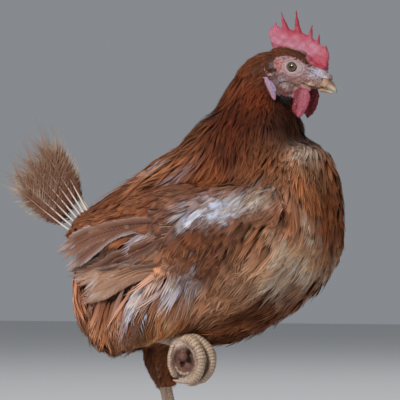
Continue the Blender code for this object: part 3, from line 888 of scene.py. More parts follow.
def headTones(mesh, masks):
    points = pointsOf(mesh)
    q = toHead(points)
    x, y, z = q[:, 0], abs(q[:, 1]), q[:, 2]
    mottle = ripple(q, 0.0045, 21)
    fine = ripple(q, 0.0016, 22)
    reach = fromEye(q)
    colour = plain((140, 98, 94), len(points))
    for shades, strength, shape in faceMarks:
        if len(shape) == 2:
            radius, width = shape
            mark = bell(reach - radius, width) * strength * (y > 0.009)
        else:
            ahead, up, halfWidth, halfHeight = shape
            mark = bell(np.hypot((x - ahead) / halfWidth, (z - up) / halfHeight), 1) * strength
        colour = tinted(colour, shades, mark)
    colour = tinted(colour, (78, 46, 39), bell(z - mouthLine(x), 0.0006) * step(0.008, 0.0115, x) * 0.9)
    dark = np.clip(0.8 * ripple(q * (0.5, 1, 1.6), 0.0030, 23) + 0.4 * fine - 0.25, 0, 1)
    colour = tinted(colour, (88, 58, 53), dark * 0.75 * (reach > 0.0092))
    colour = tinted(colour, (182, 163, 162), np.clip(-0.5 * mottle - 0.4 * fine, 0, 1) * 0.5)
    colour = mixed(colour, combTones(q, mottle), masks["comb"])
    colour = mixed(colour, wattleTones(q, masks["wattle"], mottle, fine), masks["wattle"])
    colour = mixed(colour, lobeTones(q, fine), masks["lobe"])
    covered = feathered(points)
    for mask in masks.values():
        covered = covered * (1 - mask)
    # painted shade: skin under the head's feathers is painted dark, as the shade between them
    return mixed(colour, tonesAt(points)[:, :3] * 0.5, covered)


legs = {
    "hockLeft": (-0.043, 0.012, 0.078),
    "ankleLeft": (-0.026, 0.004, 0.0125),
    "kneeLeft": (-0.018, 0.036, 0.125),
    "hockRight": (-0.070, -0.040, 0.118),
    "ankleRight": (-0.006, -0.047, 0.1055),
    "kneeRight": (-0.035, -0.046, 0.135),
}


foot = {
    "clench": (0.003, -0.047, 0.0872),  # the middle of the clenched right foot
    "fist": (  # flesh gathered inside the curl: place from that middle, radii
        ((0.001, 0.004, 0.001), (0.0130, 0.0075, 0.0125)),
        ((-0.004, -0.0010, 0.0135), (0.0125, 0.0085, 0.0070)),
        ((0.011, 0.004, 0.002), (0.0085, 0.0110, 0.0130)),
        ((0.004, 0.003, -0.0110), (0.0110, 0.0080, 0.0070)),
        ((-0.0015, -0.0085, 0.0045), (0.0052, 0.0040, 0.0048)),
        ((0.0035, -0.0080, -0.0045), (0.0046, 0.0036, 0.0040)),
        ((-0.0060, -0.0010, -0.0095), (0.0066, 0.0060, 0.0062)),
    ),
    "folds": (  # toes folded inside: start and end angle, radius of the curl, place aside, thickness
        (-60, -165, 0.0078, -0.0068, 0.0036),
    ),
    "plump": {"Inner": 1.0, "Middle": 1.12, "Outer": 1.36},  # flesh on the clenched toes
    "hindToe": (
        (-0.0100, -0.0050, 0.0160),
        (-0.0128, -0.0068, 0.0060),
        (-0.0130, -0.0074, -0.0040),
        (-0.0100, -0.0074, -0.0125),
    ),
    "clenched": {  # reach ahead of and below the middle, where the toe ends, how far aside, bones
        "Inner": (0.0205, 0.0195, -28, 0.0125, 3),
        "Middle": (0.0225, 0.0212, -62, 0.0015, 4),
        "Outer": (0.0148, 0.0178, -88, -0.0090, 4),
    },
    "standing": {  # direction, length, bones
        "Hallux": (172, 0.023, 2),
        "Inner": (-36, 0.042, 3),
        "Middle": (-2, 0.060, 4),
        "Outer": (38, 0.047, 4),
    },
    "toeRadii": (0.0050, 0.0034),
    "hindRadii": (0.0044, 0.0032),
    "pitch": 0.0027,  # from one plate to the next
    "plateArc": {"clenched": 112, "standing": 78, "folded": 80, "hind": 76, "shank": 72},  # half, degrees
}


def toeRadius(shares, bones):
    root, tip = foot["toeRadii"]
    return (root + (tip - root) * shares) * (1 + 0.07 * np.cos(2 * np.pi * bones * shares))


def clenchedToe(name, shares):
    ahead, below, end, aside, bones = foot["clenched"][name]
    start = np.array(legs["ankleRight"]) - np.array(foot["clench"])
    first = math.atan2(start[2], start[0])
    reach = math.hypot(start[0], start[2])
    angles = first + (math.radians(end) - first) * shares
    settled = step(0, 0.45, shares)
    x = np.cos(angles) * (reach + (ahead - reach) * settled)
    z = np.sin(angles) * (reach + (below - reach) * settled)
    y = aside * np.minimum(1, shares / 0.35) ** 0.8
    spots = np.stack([x, y, z], 1)
    backs = unit(np.stack([np.cos(angles), 0 * x, np.sin(angles)], 1))
    radii = toeRadius(shares, bones) * (1 + (foot["plump"][name] - 1) * step(0.05, 0.25, shares))
    return np.array(fromZero(foot["clench"])) + spots, backs, radii * step(1.25, 0.85, shares)


def foldedToe(fold):
    first, last, reach, aside, thickness = fold
    angles = np.radians(np.linspace(first, last, 36))
    backs = np.stack([np.cos(angles), 0 * angles, np.sin(angles)], 1)
    middle = np.array(fromZero(foot["clench"])) + np.array((0.0005, aside, -0.0015))
    return middle + backs * reach, backs, thickness * np.linspace(1.05, 0.85, 36)


def hindToe():
    corners = np.array(fromZero(foot["clench"])) + np.array(foot["hindToe"])
    shares = np.linspace(0, len(corners) - 1, 26)
    path = np.stack([np.interp(shares, range(len(corners)), corners[:, k]) for k in range(3)], 1)
    path[1:-1] = (path[:-2] + path[1:-1] + path[2:]) / 3
    backs = np.tile((-1.0, -0.45, 0.0), (len(path), 1)) / 1.0966
    return path, backs, np.linspace(*foot["hindRadii"], len(path))


def standingToe(name, shares):
    degrees, length, bones = foot["standing"][name]
    radii = toeRadius(shares, bones)
    root, tip = foot["toeRadii"]
    resting = 0.92 * (root + (tip - root) * shares)
    drop = np.maximum(0, 1 - shares * length / 0.017)
    ankle = np.array(fromZero(legs["ankleLeft"]))
    heights = resting + (ankle[2] - resting) * drop**2 * (3 - 2 * drop)
    angle = math.radians(degrees)
    x = ankle[0] + math.cos(angle) * length * shares
    y = ankle[1] + math.sin(angle) * length * shares
    return np.stack([x, y, heights], 1), np.tile((0.0, 0.0, 1.0), (len(shares), 1)), radii


def plateTemplate():
    bm = bmesh.new()
    bmesh.ops.create_cube(bm, size=1)
    bmesh.ops.subdivide_edges(bm, edges=bm.edges, cuts=5, use_grid_fill=True)
    bmesh.ops.triangulate(bm, faces=bm.faces)
    bmesh.ops.recalc_face_normals(bm, faces=bm.faces)
    bm.verts.index_update()
    points = np.array([v.co[:] for v in bm.verts])
    faces = np.array([[v.index for v in f.verts] for f in bm.faces])
    bm.free()
    return points, faces


def plateRow(path, backs, radii, widest, points):
    # overlapping plates along the back of a toe or a shank
    runs = np.linalg.norm(np.diff(path, axis=0), axis=1)
    along = np.concatenate([[0], np.cumsum(runs)])
    places = np.arange(foot["pitch"] * 0.5, along[-1] - foot["pitch"] * 0.4, foot["pitch"])
    across, run, lift = points.T * 2
    made, tints = [], []
    for place in places:
        at = place + run * foot["pitch"] * 0.60
        spot = np.stack([np.interp(at, along, path[:, k]) for k in range(3)], 1)
        back = unit(np.stack([np.interp(at, along, backs[:, k]) for k in range(3)], 1))
        aim = unit(np.stack([np.interp(at + 5e-4, along, path[:, k]) for k in range(3)], 1) - spot + 1e-9)
        aside = unit(np.cross(aim, back))
        radius = np.interp(at, along, radii)
        angle = math.radians(widest) * across * rng.uniform(0.92, 1.06)
        proud = 0.0002 + 0.00035 * lift + 0.00042 * run
        proud = proud - 0.00055 * abs(across) ** 4 - 0.0003 * abs(run) ** 6
        height = (radius + proud)[:, None]
        made.append(spot + back * np.cos(angle)[:, None] * height + aside * np.sin(angle)[:, None] * height)
        colour = plain((204, 172, 144), len(points)) * rng.uniform(0.86, 1.1)
        colour = tinted(colour, (70, 46, 34), step(0.40, 1, -run) * 0.9)
        colour = tinted(colour, (214, 190, 164), bell(run - 0.5, 0.35) * 0.4)
        tints.append(tinted(colour, (104, 74, 58), step(0.75, 1, abs(across)) * 0.6))
    return made, tints


def buildScutes(material):
    points, faces = plateTemplate()
    shares = np.linspace(0.10, 0.97, 40)
    arc = foot["plateArc"]
    rows = [(*clenchedToe(name, shares), arc["clenched"]) for name in foot["clenched"]]
    rows += [(*standingToe(name, shares), arc["standing"]) for name in foot["standing"]]
    rows += [(*foldedToe(fold), arc["folded"]) for fold in foot["folds"]]
    rows.append((*hindToe(), arc["hind"]))
    for side, back in (("Left", (1, 0, 0.25)), ("Right", (0.2, 0, 1))):
        hock = np.array(fromZero(legs["hock" + side]))
        ankle = np.array(fromZero(legs["ankle" + side]))
        down = np.linspace(0.12, 0.97, 20)
        line = hock + (ankle - hock) * down[:, None]
        radii = 0.0058 + 0.0022 * (2 * down - 1) ** 4
        backs = np.tile(unit(np.array(back, float)), (len(down), 1))
        rows.append((line, backs, radii, arc["shank"]))
    made, tints = [], []
    for path, backs, radii, widest in rows:
        some, colours = plateRow(path, backs, radii, widest, points)
        made += some
        tints += colours
    faces = np.concatenate([faces + i * len(points) for i in range(len(made))])
    mesh = bpy.data.meshes.new("scutes")
    mesh.from_pydata(np.concatenate(made).tolist(), [], faces.tolist())
    colourVerts(mesh, np.concatenate(tints))
    mesh.shade_smooth()
    mesh.materials.append(material)
    scutes = objectFrom("scutes", mesh)
    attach(scutes, "root")
    print("scutes", len(made))


def fromZero(place):
    return zero + Vector(place)


def addTube(bm, start, end, startRadius, endRadius):
    aim = end - start
    turn = aim.to_track_quat("Z", "Y").to_matrix().to_4x4()
    bmesh.ops.create_cone(
        bm,
        cap_ends=True,
        segments=12,
        radius1=startRadius,
        radius2=endRadius,
        depth=aim.length,
        matrix=Matrix.Translation((start + end) / 2) @ turn,
    )


def addSphere(bm, place, radius, segments, rings):
    bmesh.ops.create_uvsphere(
        bm, u_segments=segments, v_segments=rings, radius=radius, matrix=Matrix.Translation(place)
    )


def legForms():
    bm = cadCopy(["shank_left", "foot_left", "foot_right"])
    for side in ("Left", "Right"):
        hock, ankle, knee = (fromZero(legs[part + side]) for part in ("hock", "ankle", "knee"))
        addTube(bm, hock.lerp(ankle, 0.2), hock, 0.0058, 0.0078)  # the shank widens into the hock
        addTube(bm, hock, knee, 0.0075, 0.0150)  # the drumstick, inside the thigh's feathers
        addTube(bm, hock.lerp(ankle, 0.1), ankle.lerp(hock, 0.05), 0.0054, 0.0052)
        addSphere(bm, hock, 0.0080, 14, 8)
    for place, radii in foot["fist"]:
        matrix = Matrix.Translation(fromZero(foot["clench"]) + Vector(place)) @ Matrix.Diagonal((*radii, 1))
        bmesh.ops.create_uvsphere(bm, u_segments=16, v_segments=8, radius=1, matrix=matrix)
    toes = [foldedToe(fold) for fold in foot["folds"]] + [hindToe()]
    toes += [clenchedToe(name, np.linspace(0.1, 0.97, 36)) for name in foot["clenched"]]
    for path, _, radii in toes:
        for place, radius in zip(path, radii):
            addSphere(bm, place, radius, 12, 6)
    return bm


def legTones(mesh):
    points = pointsOf(mesh)
    mottle = ripple(points, 0.010, 31)
    fine = ripple(points, 0.0022, 32)
    fromFist = np.linalg.norm(points - np.array(fromZero(foot["clench"])), axis=1)
    colour = plain((186, 158, 136), len(points))
    colour = tinted(colour, (136, 98, 76), np.clip(mottle * 0.6 + 0.3 * fine, 0, 1) * 0.6)
    colour = tinted(colour, (206, 186, 172), np.clip(-mottle, 0, 1) * 0.5)
    # painted shade inside the curl of the clenched toes
    colour = tinted(colour, (112, 72, 58), step(0.0200, 0.0140, fromFist))
    # painted shade where the foot meets the floor
    return tinted(colour, (112, 84, 68), step(0.004, 0.0008, points[:, 2]) * 0.6)


def paintSkin():
    paint = Paint("bareSkin", roughness=0.48, Subsurface_Weight=0.12, Subsurface_Scale=0.002)
    paint.shader.inputs["Subsurface Radius"].default_value = (1.0, 0.35, 0.25)
    where = paint.place()
    creases = paint.noise(where, 900, 4, 0.6)
    grain = paint.cells(where, 1500)
    tint = paint.tint()
    paint.set("Base Color", paint.scaled(tint, creases * 0.5 + 0.78))
    paint.set("Roughness", creases * 0.3 + 0.34)
    paint.bump(creases * 0.7 + grain * 0.3, 0.00035, 0.8)
    return paint.material


def paintComb():
    paint = Paint(
        "combFlesh", roughness=0.42, Subsurface_Weight=0.2, Subsurface_Scale=0.003, Specular_IOR_Level=0.22
    )
    paint.shader.inputs["Subsurface Radius"].default_value = (1.0, 0.25, 0.2)
    where = paint.place()
    bumps = paint.cells(where, 1100)
    blotch = paint.noise(where, 420, 4, 0.6)
    tint = paint.tint()
    frost = paint.noise(where, 1600, 2, 0.6).between(0.52, 0.72)
    colour = paint.scaled(tint, blotch * 0.5 + 0.76)
    paint.set("Base Color", paint.blend(colour, tuple(tone(222, 190, 200)), frost * 0.08))
    paint.set("Roughness", blotch * 0.35 + 0.26)
    paint.bump(bumps * -0.6 + blotch * 0.5, 0.0005, 0.8)
    return paint.material


def paintLegSkin():
    paint = Paint("legSkin", roughness=0.5)
    where = paint.place()
    scales = paint.cells(where, 620)
    edge = paint.cells(where, 620, "DISTANCE_TO_EDGE").between(0.0, 0.18)
    tint = paint.tint()
    paint.set("Base Color", paint.scaled(tint, edge * 0.45 + 0.55 + scales * 0.1))
    paint.set("Roughness", edge * -0.12 + 0.6)
    paint.bump(edge, 0.0004, 0.8)
    return paint.material


def paintHidden():
    paint = Paint("featheredSkin", roughness=0.75)
    where = paint.place()
    blotch = paint.noise(where, 160, 4, 0.6)
    paint.set("Base Color", paint.scaled(paint.tint(), blotch * 0.6 + 0.55))
    paint.bump(paint.noise(where, 1200, 3, 0.6), 0.0006, 1.0)
    return paint.material


skinForm = {
    "coreVoxel": 0.0035,
    "headVoxel": 0.00072,
    "legVoxel": 0.00115,
    "rootShare": 1.15,  # how far the core lies in, as a share of the feathers' root depth
    "rootGap": 0.0004,
    "coreEnds": 0.018,  # the core's bare parts are cut off from this far below the eyes up
}


def growCore():
    # the body under the plumage
    core = coatSurface.copy()
    depth = sizesAt(pointsOf(core))[:, 2] * skinForm["rootShare"] + skinForm["rootGap"]
    move(core, pointsOf(core) - normalsOf(core) * depth[:, None])
    bm = bmesh.new()
    bm.from_mesh(core)
    top = headMiddle.z - skinForm["coreEnds"]
    bare = [v for v in bm.verts if v.co.z >= top and feathered(np.array([v.co]))[0] <= 0.5]
    bmesh.ops.delete(bm, geom=bare, context="VERTS")
    bmesh.ops.holes_fill(bm, edges=bm.edges)
    core = remeshed(bm, skinForm["coreVoxel"], 2)
    # painted shade: the hidden body skin is painted dark, so gaps between the feathers look shaded
    colourVerts(core, tonesAt(pointsOf(core))[:, :3] * 0.45)
    return core


def growHead():
    head = remeshed(headForms(), skinForm["headVoxel"], 2)
    masks = shapeHead(head)
    colourVerts(head, headTones(head, masks))
    red = (masks["comb"] + masks["wattle"] + masks["lobe"]) > 0.5
    return head, red[[p.vertices[0] for p in head.polygons]]


def growLegs():
    leg = remeshed(legForms(), skinForm["legVoxel"], 3)
    points, normals = pointsOf(leg), normalsOf(leg)
    move(leg, points + normals * (0.00012 * ripple(points, 0.003, 41))[:, None])
    colourVerts(leg, legTones(leg))
    return leg


def buildSkin():
    core, (head, red), leg = growCore(), growHead(), growLegs()
    print("body, head and leg skin", *(len(part.polygons) for part in (core, head, leg)))
    bm = bmesh.new()
    for part in (core, head, leg):
        bm.from_mesh(part)
    mesh = bpy.data.meshes.new("skin")
    bm.to_mesh(mesh)
    bm.free()
    painted = [0] * len(core.polygons) + (1 + red).tolist() + [3] * len(leg.polygons)
    mesh.polygons.foreach_set("material_index", painted)
    mesh.shade_smooth()
    skin = objectFrom("skin", mesh)
    legSkin = paintLegSkin()
    for material in (paintHidden(), paintSkin(), paintComb(), legSkin):
        mesh.materials.append(material)
    buildScutes(legSkin)
    flesh = ["breast", "trunk", "rump", "neck_lower", "neck_upper", "head", "comb"]
    for side in ("left", "right"):
        flesh += [f"{part}_{side}" for part in ("wattle", "ear_lobe", "thigh", "shank", "foot")]
        flesh += [f"wing_{side}_shoulder", f"wing_{side}_flight"]
    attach(skin, "root")
    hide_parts(*flesh)
    return skin


def unwrap(piece):
    mesh = piece.data
    mesh.uv_layers.new(name="OFBake")
    bpy.ops.object.select_all(action="DESELECT")
    piece.select_set(True)
    bpy.context.view_layer.objects.active = piece
    bpy.ops.object.mode_set(mode="EDIT")
    bpy.ops.mesh.select_all(action="SELECT")
    bpy.ops.uv.smart_project(angle_limit=math.radians(75), island_margin=0.002)
    bpy.ops.object.mode_set(mode="OBJECT")


skin = buildSkin()
print("skin", len(skin.data.polygons))
unwrap(skin)
print("skin unwrapped")
skinTree = treeOf(skin.data)
skinUv = np.empty(len(skin.data.loops) * 2)
skin.data.uv_layers["OFBake"].data.foreach_get("uv", skinUv)
skinUv = skinUv.reshape(-1, 2)


def bakeSpots(roots):
    # each root's place on the skin's own unwrap
    faces = nearest(skinTree, roots)[2]
    starts = np.array([skin.data.polygons[int(f)].loop_start for f in faces])
    return np.clip(skinUv[starts], 0.002, 0.998)


def joinRings(bm, rings):
    for first, second in zip(rings, rings[1:]):
        edges = set()
        for ring in (first, second):
            edges.update(e for v in ring for e in v.link_edges if e.other_vert(v) in ring)
        bmesh.ops.bridge_loops(bm, edges=list(edges))
    for ring in (rings[0], rings[-1]):
        bm.faces.new(ring)


# In a template, across is in half widths, along in lengths and lift in half widths.
def addLock(bm, places, halfWidths, thickness, sideways):
    # one flat lock of barbs, as rings joined along it
    up = Vector((0, 0, 1))
    aim = sideways.cross(up)
    rings = []
    for place, halfWidth in zip(places, halfWidths):
        shape = Matrix((sideways * halfWidth, up * thickness, aim)).transposed().to_4x4()
        matrix = Matrix.Translation(place) @ shape
        rings.append(bmesh.ops.create_circle(bm, segments=4, radius=1, matrix=matrix)["verts"])
    joinRings(bm, rings)
    return rings


def templateFrom(bm, made):
    # made lists each lock's number and rings
    bmesh.ops.triangulate(bm, faces=bm.faces)
    bmesh.ops.recalc_face_normals(bm, faces=bm.faces)
    bm.verts.index_update()
    lock = np.zeros(len(bm.verts), int)
    rim = np.zeros(len(bm.verts), int)
    for number, rings in made:
        for ring in rings:
            for corner, vert in enumerate(ring):
                lock[vert.index] = number
                rim[vert.index] = corner if len(ring) == 4 else 0
    template = {
        "points": np.array([v.co[:] for v in bm.verts]),
        "faces": np.array([[v.index for v in f.verts] for f in bm.faces]),
        "lock": lock,
        "rim": rim,
    }
    bm.free()
    return template


def vaneTemplate(
    seed, locks, pointed, ragged, split, flare=0.05, camber=0.14, base=0.2, narrow=0.1, steps=5
):
    # a soft vane whose edge parts into locks of barbs towards the tip
    local = np.random.default_rng(seed)
    bm = bmesh.new()
    made = []
    bounds = np.linspace(-1, 1, locks + 1)
    bounds[1:-1] += local.uniform(-0.5, 0.5, locks - 1) / locks
    for i in range(locks):
        side = (bounds[i] + bounds[i + 1]) / 2
        half = (bounds[i + 1] - bounds[i]) / 2
        reach = 1 - pointed * abs(side) ** 1.7 + ragged * local.uniform(-1, 0.8)
        parting = 1 - split * local.uniform(0.4, 1.3)
        sway = ragged * local.uniform(-1, 1)
        rise = ragged * local.uniform(-0.5, 1.0)
        places, halfWidths = [], []
        for share in np.linspace(0, 1, steps) ** 0.8:
            along = share * reach
            wide = base + (1 - base) * float(step(0, 0.5, along)) - narrow * float(step(0.5, 1.0, along))
            loose = max(0.0, (share - parting) / (1 - parting + 1e-6))
            centre = side * wide + sway * share**3 + side * flare * share**4
            places.append(Vector((centre, along, -camber * centre**2 + 0.010 * (i % 2) + rise * share**3)))
            halfWidths.append(half * wide * 1.12 * (1 - 0.9 * loose**1.4))
        made.append((i, addLock(bm, places, halfWidths, 0.012, Vector((1, 0, 0)))))
    return templateFrom(bm, made)


def quillTemplate(seed, ratio, barbs, sweep, fray, bareBase, gaps, shaftWidth, fan=0.0):
    # barbs leave the shaft on both sides and sweep to the tip; ratio is half width over length
    local = np.random.default_rng(seed)
    bm = bmesh.new()
    made = []
    pitch = (1 - bareBase) / barbs
    for side in (-1, 1):
        for i in range(barbs):
            base = bareBase + (1 - bareBase) * (i + 0.5) / barbs
            if local.random() < gaps:
                continue
            end = float(step(0.78, 1.0, base))
            width = float(step(bareBase - 0.10, bareBase + 0.22, base)) * (1 - 0.5 * end * (1 - fan))
            width *= 1 + fray * local.uniform(-0.8, 0.7)
            lean = sweep * (1 + (0.9 + fan) * end) * (1 + fray * local.uniform(-0.35, 0.35))
            stray = fray * local.uniform(-1, 1)
            places, halfWidths = [], []
            for share, profile in ((0.0, 1.1), (0.35, 1.2), (0.7, 0.9), (0.88, 0.55), (1, 0.08)):
                across = side * width * share * (1 - 0.25 * end)
                along = base * 0.985 + lean * ratio * width * share**1.3 + stray * ratio * 0.5 * share**3
                lift = -0.08 * share**2 + 0.012 * (i % 2) + fray * 0.35 * local.uniform(-1, 1) * share**2
                places.append(Vector((across, along, lift)))
                thin = 1 - fray * float(step(0.45, 0.8, share)) - 0.35 * end * fan
                halfWidths.append(pitch * 0.95 * profile * max(thin, 0.25))
            made.append((1 + i % 31, addLock(bm, places, halfWidths, 0.010, Vector((0, 1, 0)))))
    places = [Vector((0, share * 0.98, 0.02)) for share in (0, 0.2, 0.45, 0.7, 0.9, 1.0)]
    shaft = []
    for place in places:
        halfWidth = shaftWidth * (1 - 0.8 * place.y)
        shape = Matrix.Diagonal((halfWidth, halfWidth * 1.2, 1, 1))
        matrix = Matrix.Translation(place) @ Matrix.Rotation(math.radians(90), 4, "X") @ shape
        shaft.append(bmesh.ops.create_circle(bm, segments=5, radius=1, matrix=matrix)["verts"])
    joinRings(bm, shaft)
    made.append((-1, shaft))
    return templateFrom(bm, made)


# Each kind of feather: its variants' seeds, then what vaneTemplate asks for.
vanes = {
    "bristle": (
        range(100, 104),
        {"locks": 2, "pointed": 0.1, "ragged": 0.25, "split": 0.8, "base": 0.5, "narrow": 0.3, "steps": 4},
    ),
    "hackle": (
        range(200, 206),
        {"locks": 5, "pointed": 0.42, "ragged": 0.07, "split": 0.45, "camber": 0.2, "narrow": 0.45},
    ),
    "contour": (range(300, 308), {"locks": 9, "pointed": 0.26, "ragged": 0.05, "split": 0.30}),
    "fluff": (
        range(400, 408),
        {"locks": 9, "pointed": 0.34, "ragged": 0.10, "split": 0.55, "flare": 0.12},
    ),
    "wisp": (
        range(450, 456),
        {"locks": 3, "pointed": 0.25, "ragged": 0.12, "split": 0.7, "flare": 0.25, "base": 0.4},
    ),
}
templates = {
    name: [vaneTemplate(seed, **shape) for seed in seeds] for name, (seeds, shape) in vanes.items()
}
print("templates", {name: len(made[0]["faces"]) for name, made in templates.items()})


def newCoat():
    return {"points": [], "faces": [], "tints": [], "vane": [], "bake": [], "rim": [], "count": 0}


def vaneTints(template, count, tones, wornAndSheen, warm, contrast, shaftTone, edgeTone):
    # darker at the root, paler at the tip, each lock a shade of its own, worn places pale with painted
    # sheen
    rootTones, tipTones = tones
    across, along = template["points"].T[:2]
    lock = template["lock"]
    towardsTip = step(0.35, 0.97, along)[None, :]
    tints = mixed(rootTones[:, None], tipTones[:, None], np.repeat(towardsTip, count, 0))
    # painted shade: each feather darker towards its root, where the feathers above it shade it
    tints = tints * (0.72 + 0.28 * step(0.05, 0.5, along))[None, :, None]
    lockCount = int(lock.max()) + 2
    lockShade = (1 + contrast * rng.normal(size=(count, lockCount)))[:, lock][..., None]
    lockPale = rng.random(size=(count, lockCount))[:, lock]
    tints = tints * lockShade
    middle = bell(across, 0.12) * step(1.0, 0.7, along)
    tints = mixed(tints, tints * 1.3, np.repeat(middle[None], count, 0))
    show = wornAndSheen[:, None] * (0.9 + 0.3 * lockPale) * (1 - 0.45 * step(0.80, 1.0, along))[None]
    pale = mixed(np.broadcast_to(wornSheenTone, tints.shape), wornSheenWarm, np.clip(lockPale**2 + warm, 0, 1))
    tints = mixed(tints, pale * lockShade, np.clip(show, 0, 0.95))
    if edgeTone is not None:
        outer = np.maximum(step(0.5, 1.0, abs(across)), 0.8 * step(0.86, 1.02, along))
        onEdge = (outer * (lock != -1) * 0.9)[None, :] * (0.5 + 0.5 * lockPale)
        tints = mixed(tints, np.broadcast_to(edgeTone, tints.shape), onEdge)
    if shaftTone is not None:
        onShaft = (lock == -1)[None, :] * (1 - 0.8 * step(0.35, 0.75, along))[None, :]
        tints = mixed(tints, np.broadcast_to(shaftTone, tints.shape), np.repeat(onShaft, count, 0) * 0.92)
    return tints


def spread(
    coat, template, lines, halfWidths, tones, wornAndSheen, spots,
    warm=0.0, contrast=0.055, shaftTone=None, edgeTone=None,
):
    # one template laid along each of the lines, which are spines with their sides and ups
    spines, sides, ups = lines
    count, stations = len(spines), spines.shape[1]
    across, along, lift = template["points"].T
    place = np.clip(along, 0, 1) * (stations - 1)
    low = np.minimum(place.astype(int), stations - 2)
    weights = np.zeros((len(along), stations))
    weights[np.arange(len(along)), low] = 1 - (place - low)
    weights[np.arange(len(along)), low + 1] = place - low
    over, sideways, upwards = (np.einsum("vs,fsk->fvk", weights, part) for part in (spines, sides, ups))
    wide = halfWidths[:, None, None]
    last = unit(spines[:, -1] - spines[:, -2])
    last = last * np.linalg.norm(spines[:, -1] - spines[:, 0], axis=1)[:, None]
    points = over + across[None, :, None] * wide * sideways + lift[None, :, None] * wide * upwards
    points += np.maximum(along - 1, 0)[None, :, None] * last[:, None]
    tints = vaneTints(template, count, tones, wornAndSheen, warm, contrast, shaftTone, edgeTone)
    offsets = rng.uniform(0, 40, size=(count, 1, 2))
    vane = np.stack([across * 0.5, along * 2.0], 1)[None] + offsets
    patch = np.stack([np.clip(across, -1, 1) * 0.5, np.clip(along, 0, 1) - 0.5], 1)[None] * 0.003
    bake = np.clip(spots[:, None] + patch, 0, 1)
    starts = coat["count"] + np.arange(count) * len(along)
    coat["faces"].append((template["faces"][None] + starts[:, None, None]).reshape(-1, 3))
    for key, rows in (("points", points), ("tints", tints), ("vane", vane), ("bake", bake)):
        coat[key].append(rows.reshape(-1, rows.shape[-1]))
    coat["rim"].append(np.tile(template["rim"], count))
    coat["count"] += count * len(along)


def finishCoat(name, coat, material, replaced=()):
    points, faces = np.concatenate(coat["points"]), np.concatenate(coat["faces"])
    mesh = bpy.data.meshes.new(name)
    mesh.vertices.add(len(points))
    mesh.vertices.foreach_set("co", points.ravel())
    mesh.loops.add(faces.size)
    mesh.loops.foreach_set("vertex_index", faces.ravel())
    mesh.polygons.add(len(faces))
    mesh.polygons.foreach_set("loop_start", np.arange(len(faces)) * 3)
    mesh.update(calc_edges=True)
    for layer, key in (("OFBake", "bake"), ("Vane", "vane")):
        flat = np.concatenate(coat[key])[faces.ravel()]
        mesh.uv_layers.new(name=layer).data.foreach_set("uv", flat.ravel())
    colourVerts(mesh, np.concatenate(coat["tints"]))
    mesh.shade_smooth()
    ends = np.empty(len(mesh.edges) * 2, int)
    mesh.edges.foreach_get("vertices", ends)
    rims = np.concatenate(coat["rim"])[ends.reshape(-1, 2)]
    sharp = (rims[:, 0] == rims[:, 1]) & (rims[:, 0] % 2 == 1)  # the thin edges of each lock
    mesh.attributes.new("sharp_edge", "BOOLEAN", "EDGE").data.foreach_set("value", sharp)
    mesh.materials.append(material)
    piece = objectFrom(name, mesh)
    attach(piece, "root")
    if replaced:
        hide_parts(*replaced)
    print(name, len(faces))


def paintPlume(name, roughness, streaks, depth):
    paint = Paint(name, roughness=roughness, Specular_IOR_Level=0.14)
    where = paint.place((26, 1.1, 1), uv="Vane")
    barbs = paint.noise(where, 1.0, 3, 0.6)
    broad = paint.noise(paint.place(), 220, 3, 0.6)
    factor = barbs * streaks + (1 - streaks * 0.5) + broad * 0.25 - 0.125
    paint.set("Base Color", paint.scaled(paint.tint(), factor))
    paint.set("Roughness", barbs * 0.25 + (roughness - 0.12))
    paint.bump(barbs, depth, 0.7)
    return paint.material


def traced(roots, lengths, depths, lifts, yaws, curls, tree):
    # lines that run over the surface the way the feathers lie, from deep roots to raised tips
    stations = 7
    spines, ups = np.empty((2, len(roots), stations, 3))
    places = roots.copy()
    for k in range(stations):
        share = k / (stations - 1)
        places, normals, _, _ = nearest(tree, places)
        height = -depths * (1 - share) ** 1.6 + lifts * share**1.5
        ups[:, k] = normals
        spines[:, k] = places + normals * height[:, None]
        aim = lieAt(places)
        aim = unit(aim - normals * (aim * normals).sum(1)[:, None])
        turn = (yaws + curls * share)[:, None]
        aim = aim * np.cos(turn) + np.cross(normals, aim) * np.sin(turn)
        places = places + aim * (lengths / (stations - 1))[:, None]
    smoothUps = ups.copy()
    smoothUps[:, 1:-1] = (ups[:, :-2] + ups[:, 1:-1] * 2 + ups[:, 2:]) / 4
    smoothUps[:, 0] = (ups[:, 0] + ups[:, 1]) / 2
    smoothUps[:, -1] = (ups[:, -1] + ups[:, -2]) / 2
    smoothUps = unit(smoothUps)
    run = np.gradient(spines, axis=1)
    sides = unit(np.cross(run, smoothUps))
    return spines, sides, unit(np.cross(sides, run))


def nearer(one, other, gap):
    return (one[0] - other[0]) ** 2 + (one[1] - other[1]) ** 2 + (one[2] - other[2]) ** 2 < gap * gap


def scatter(mesh, radiusAt, wanted):
    # places spread evenly over a surface, each its own distance from the next
    oversample = 5  # tries for each place that could be filled
    cell = 0.003
    points, corners = pointsOf(mesh), trianglesOf(mesh)
    a, b, c = points[corners[:, 0]], points[corners[:, 1]], points[corners[:, 2]]
    middles = (a + b + c) / 3
    areas = np.linalg.norm(np.cross(b - a, c - a), axis=1) / 2
    radii = radiusAt(middles)
    share = areas / radii**2 * wanted(middles)
    count = int(share.sum() * oversample)
    chosen = rng.choice(len(share), count, p=share / share.sum())
    u, v = rng.random((2, count, 1))
    flip = (u + v) > 1
    u, v = np.where(flip, 1 - u, u), np.where(flip, 1 - v, v)
    spots = a[chosen] + u * (b - a)[chosen] + v * (c - a)[chosen]
    taken = {}
    kept = []
    for i, (spot, gap) in enumerate(zip(spots.tolist(), radii[chosen].tolist())):
        i0, j0, k0 = (int(math.floor(s / cell)) for s in spot)
        span = int(math.ceil(gap / cell))
        others = (
            other
            for di, dj, dk in itertools.product(range(-span, span + 1), repeat=3)
            for other in taken.get((i0 + di, j0 + dj, k0 + dk), ())
        )
        if not any(nearer(other, spot, gap) for other in others):
            taken.setdefault((i0, j0, k0), []).append(spot)
            kept.append(i)
    return spots[kept]


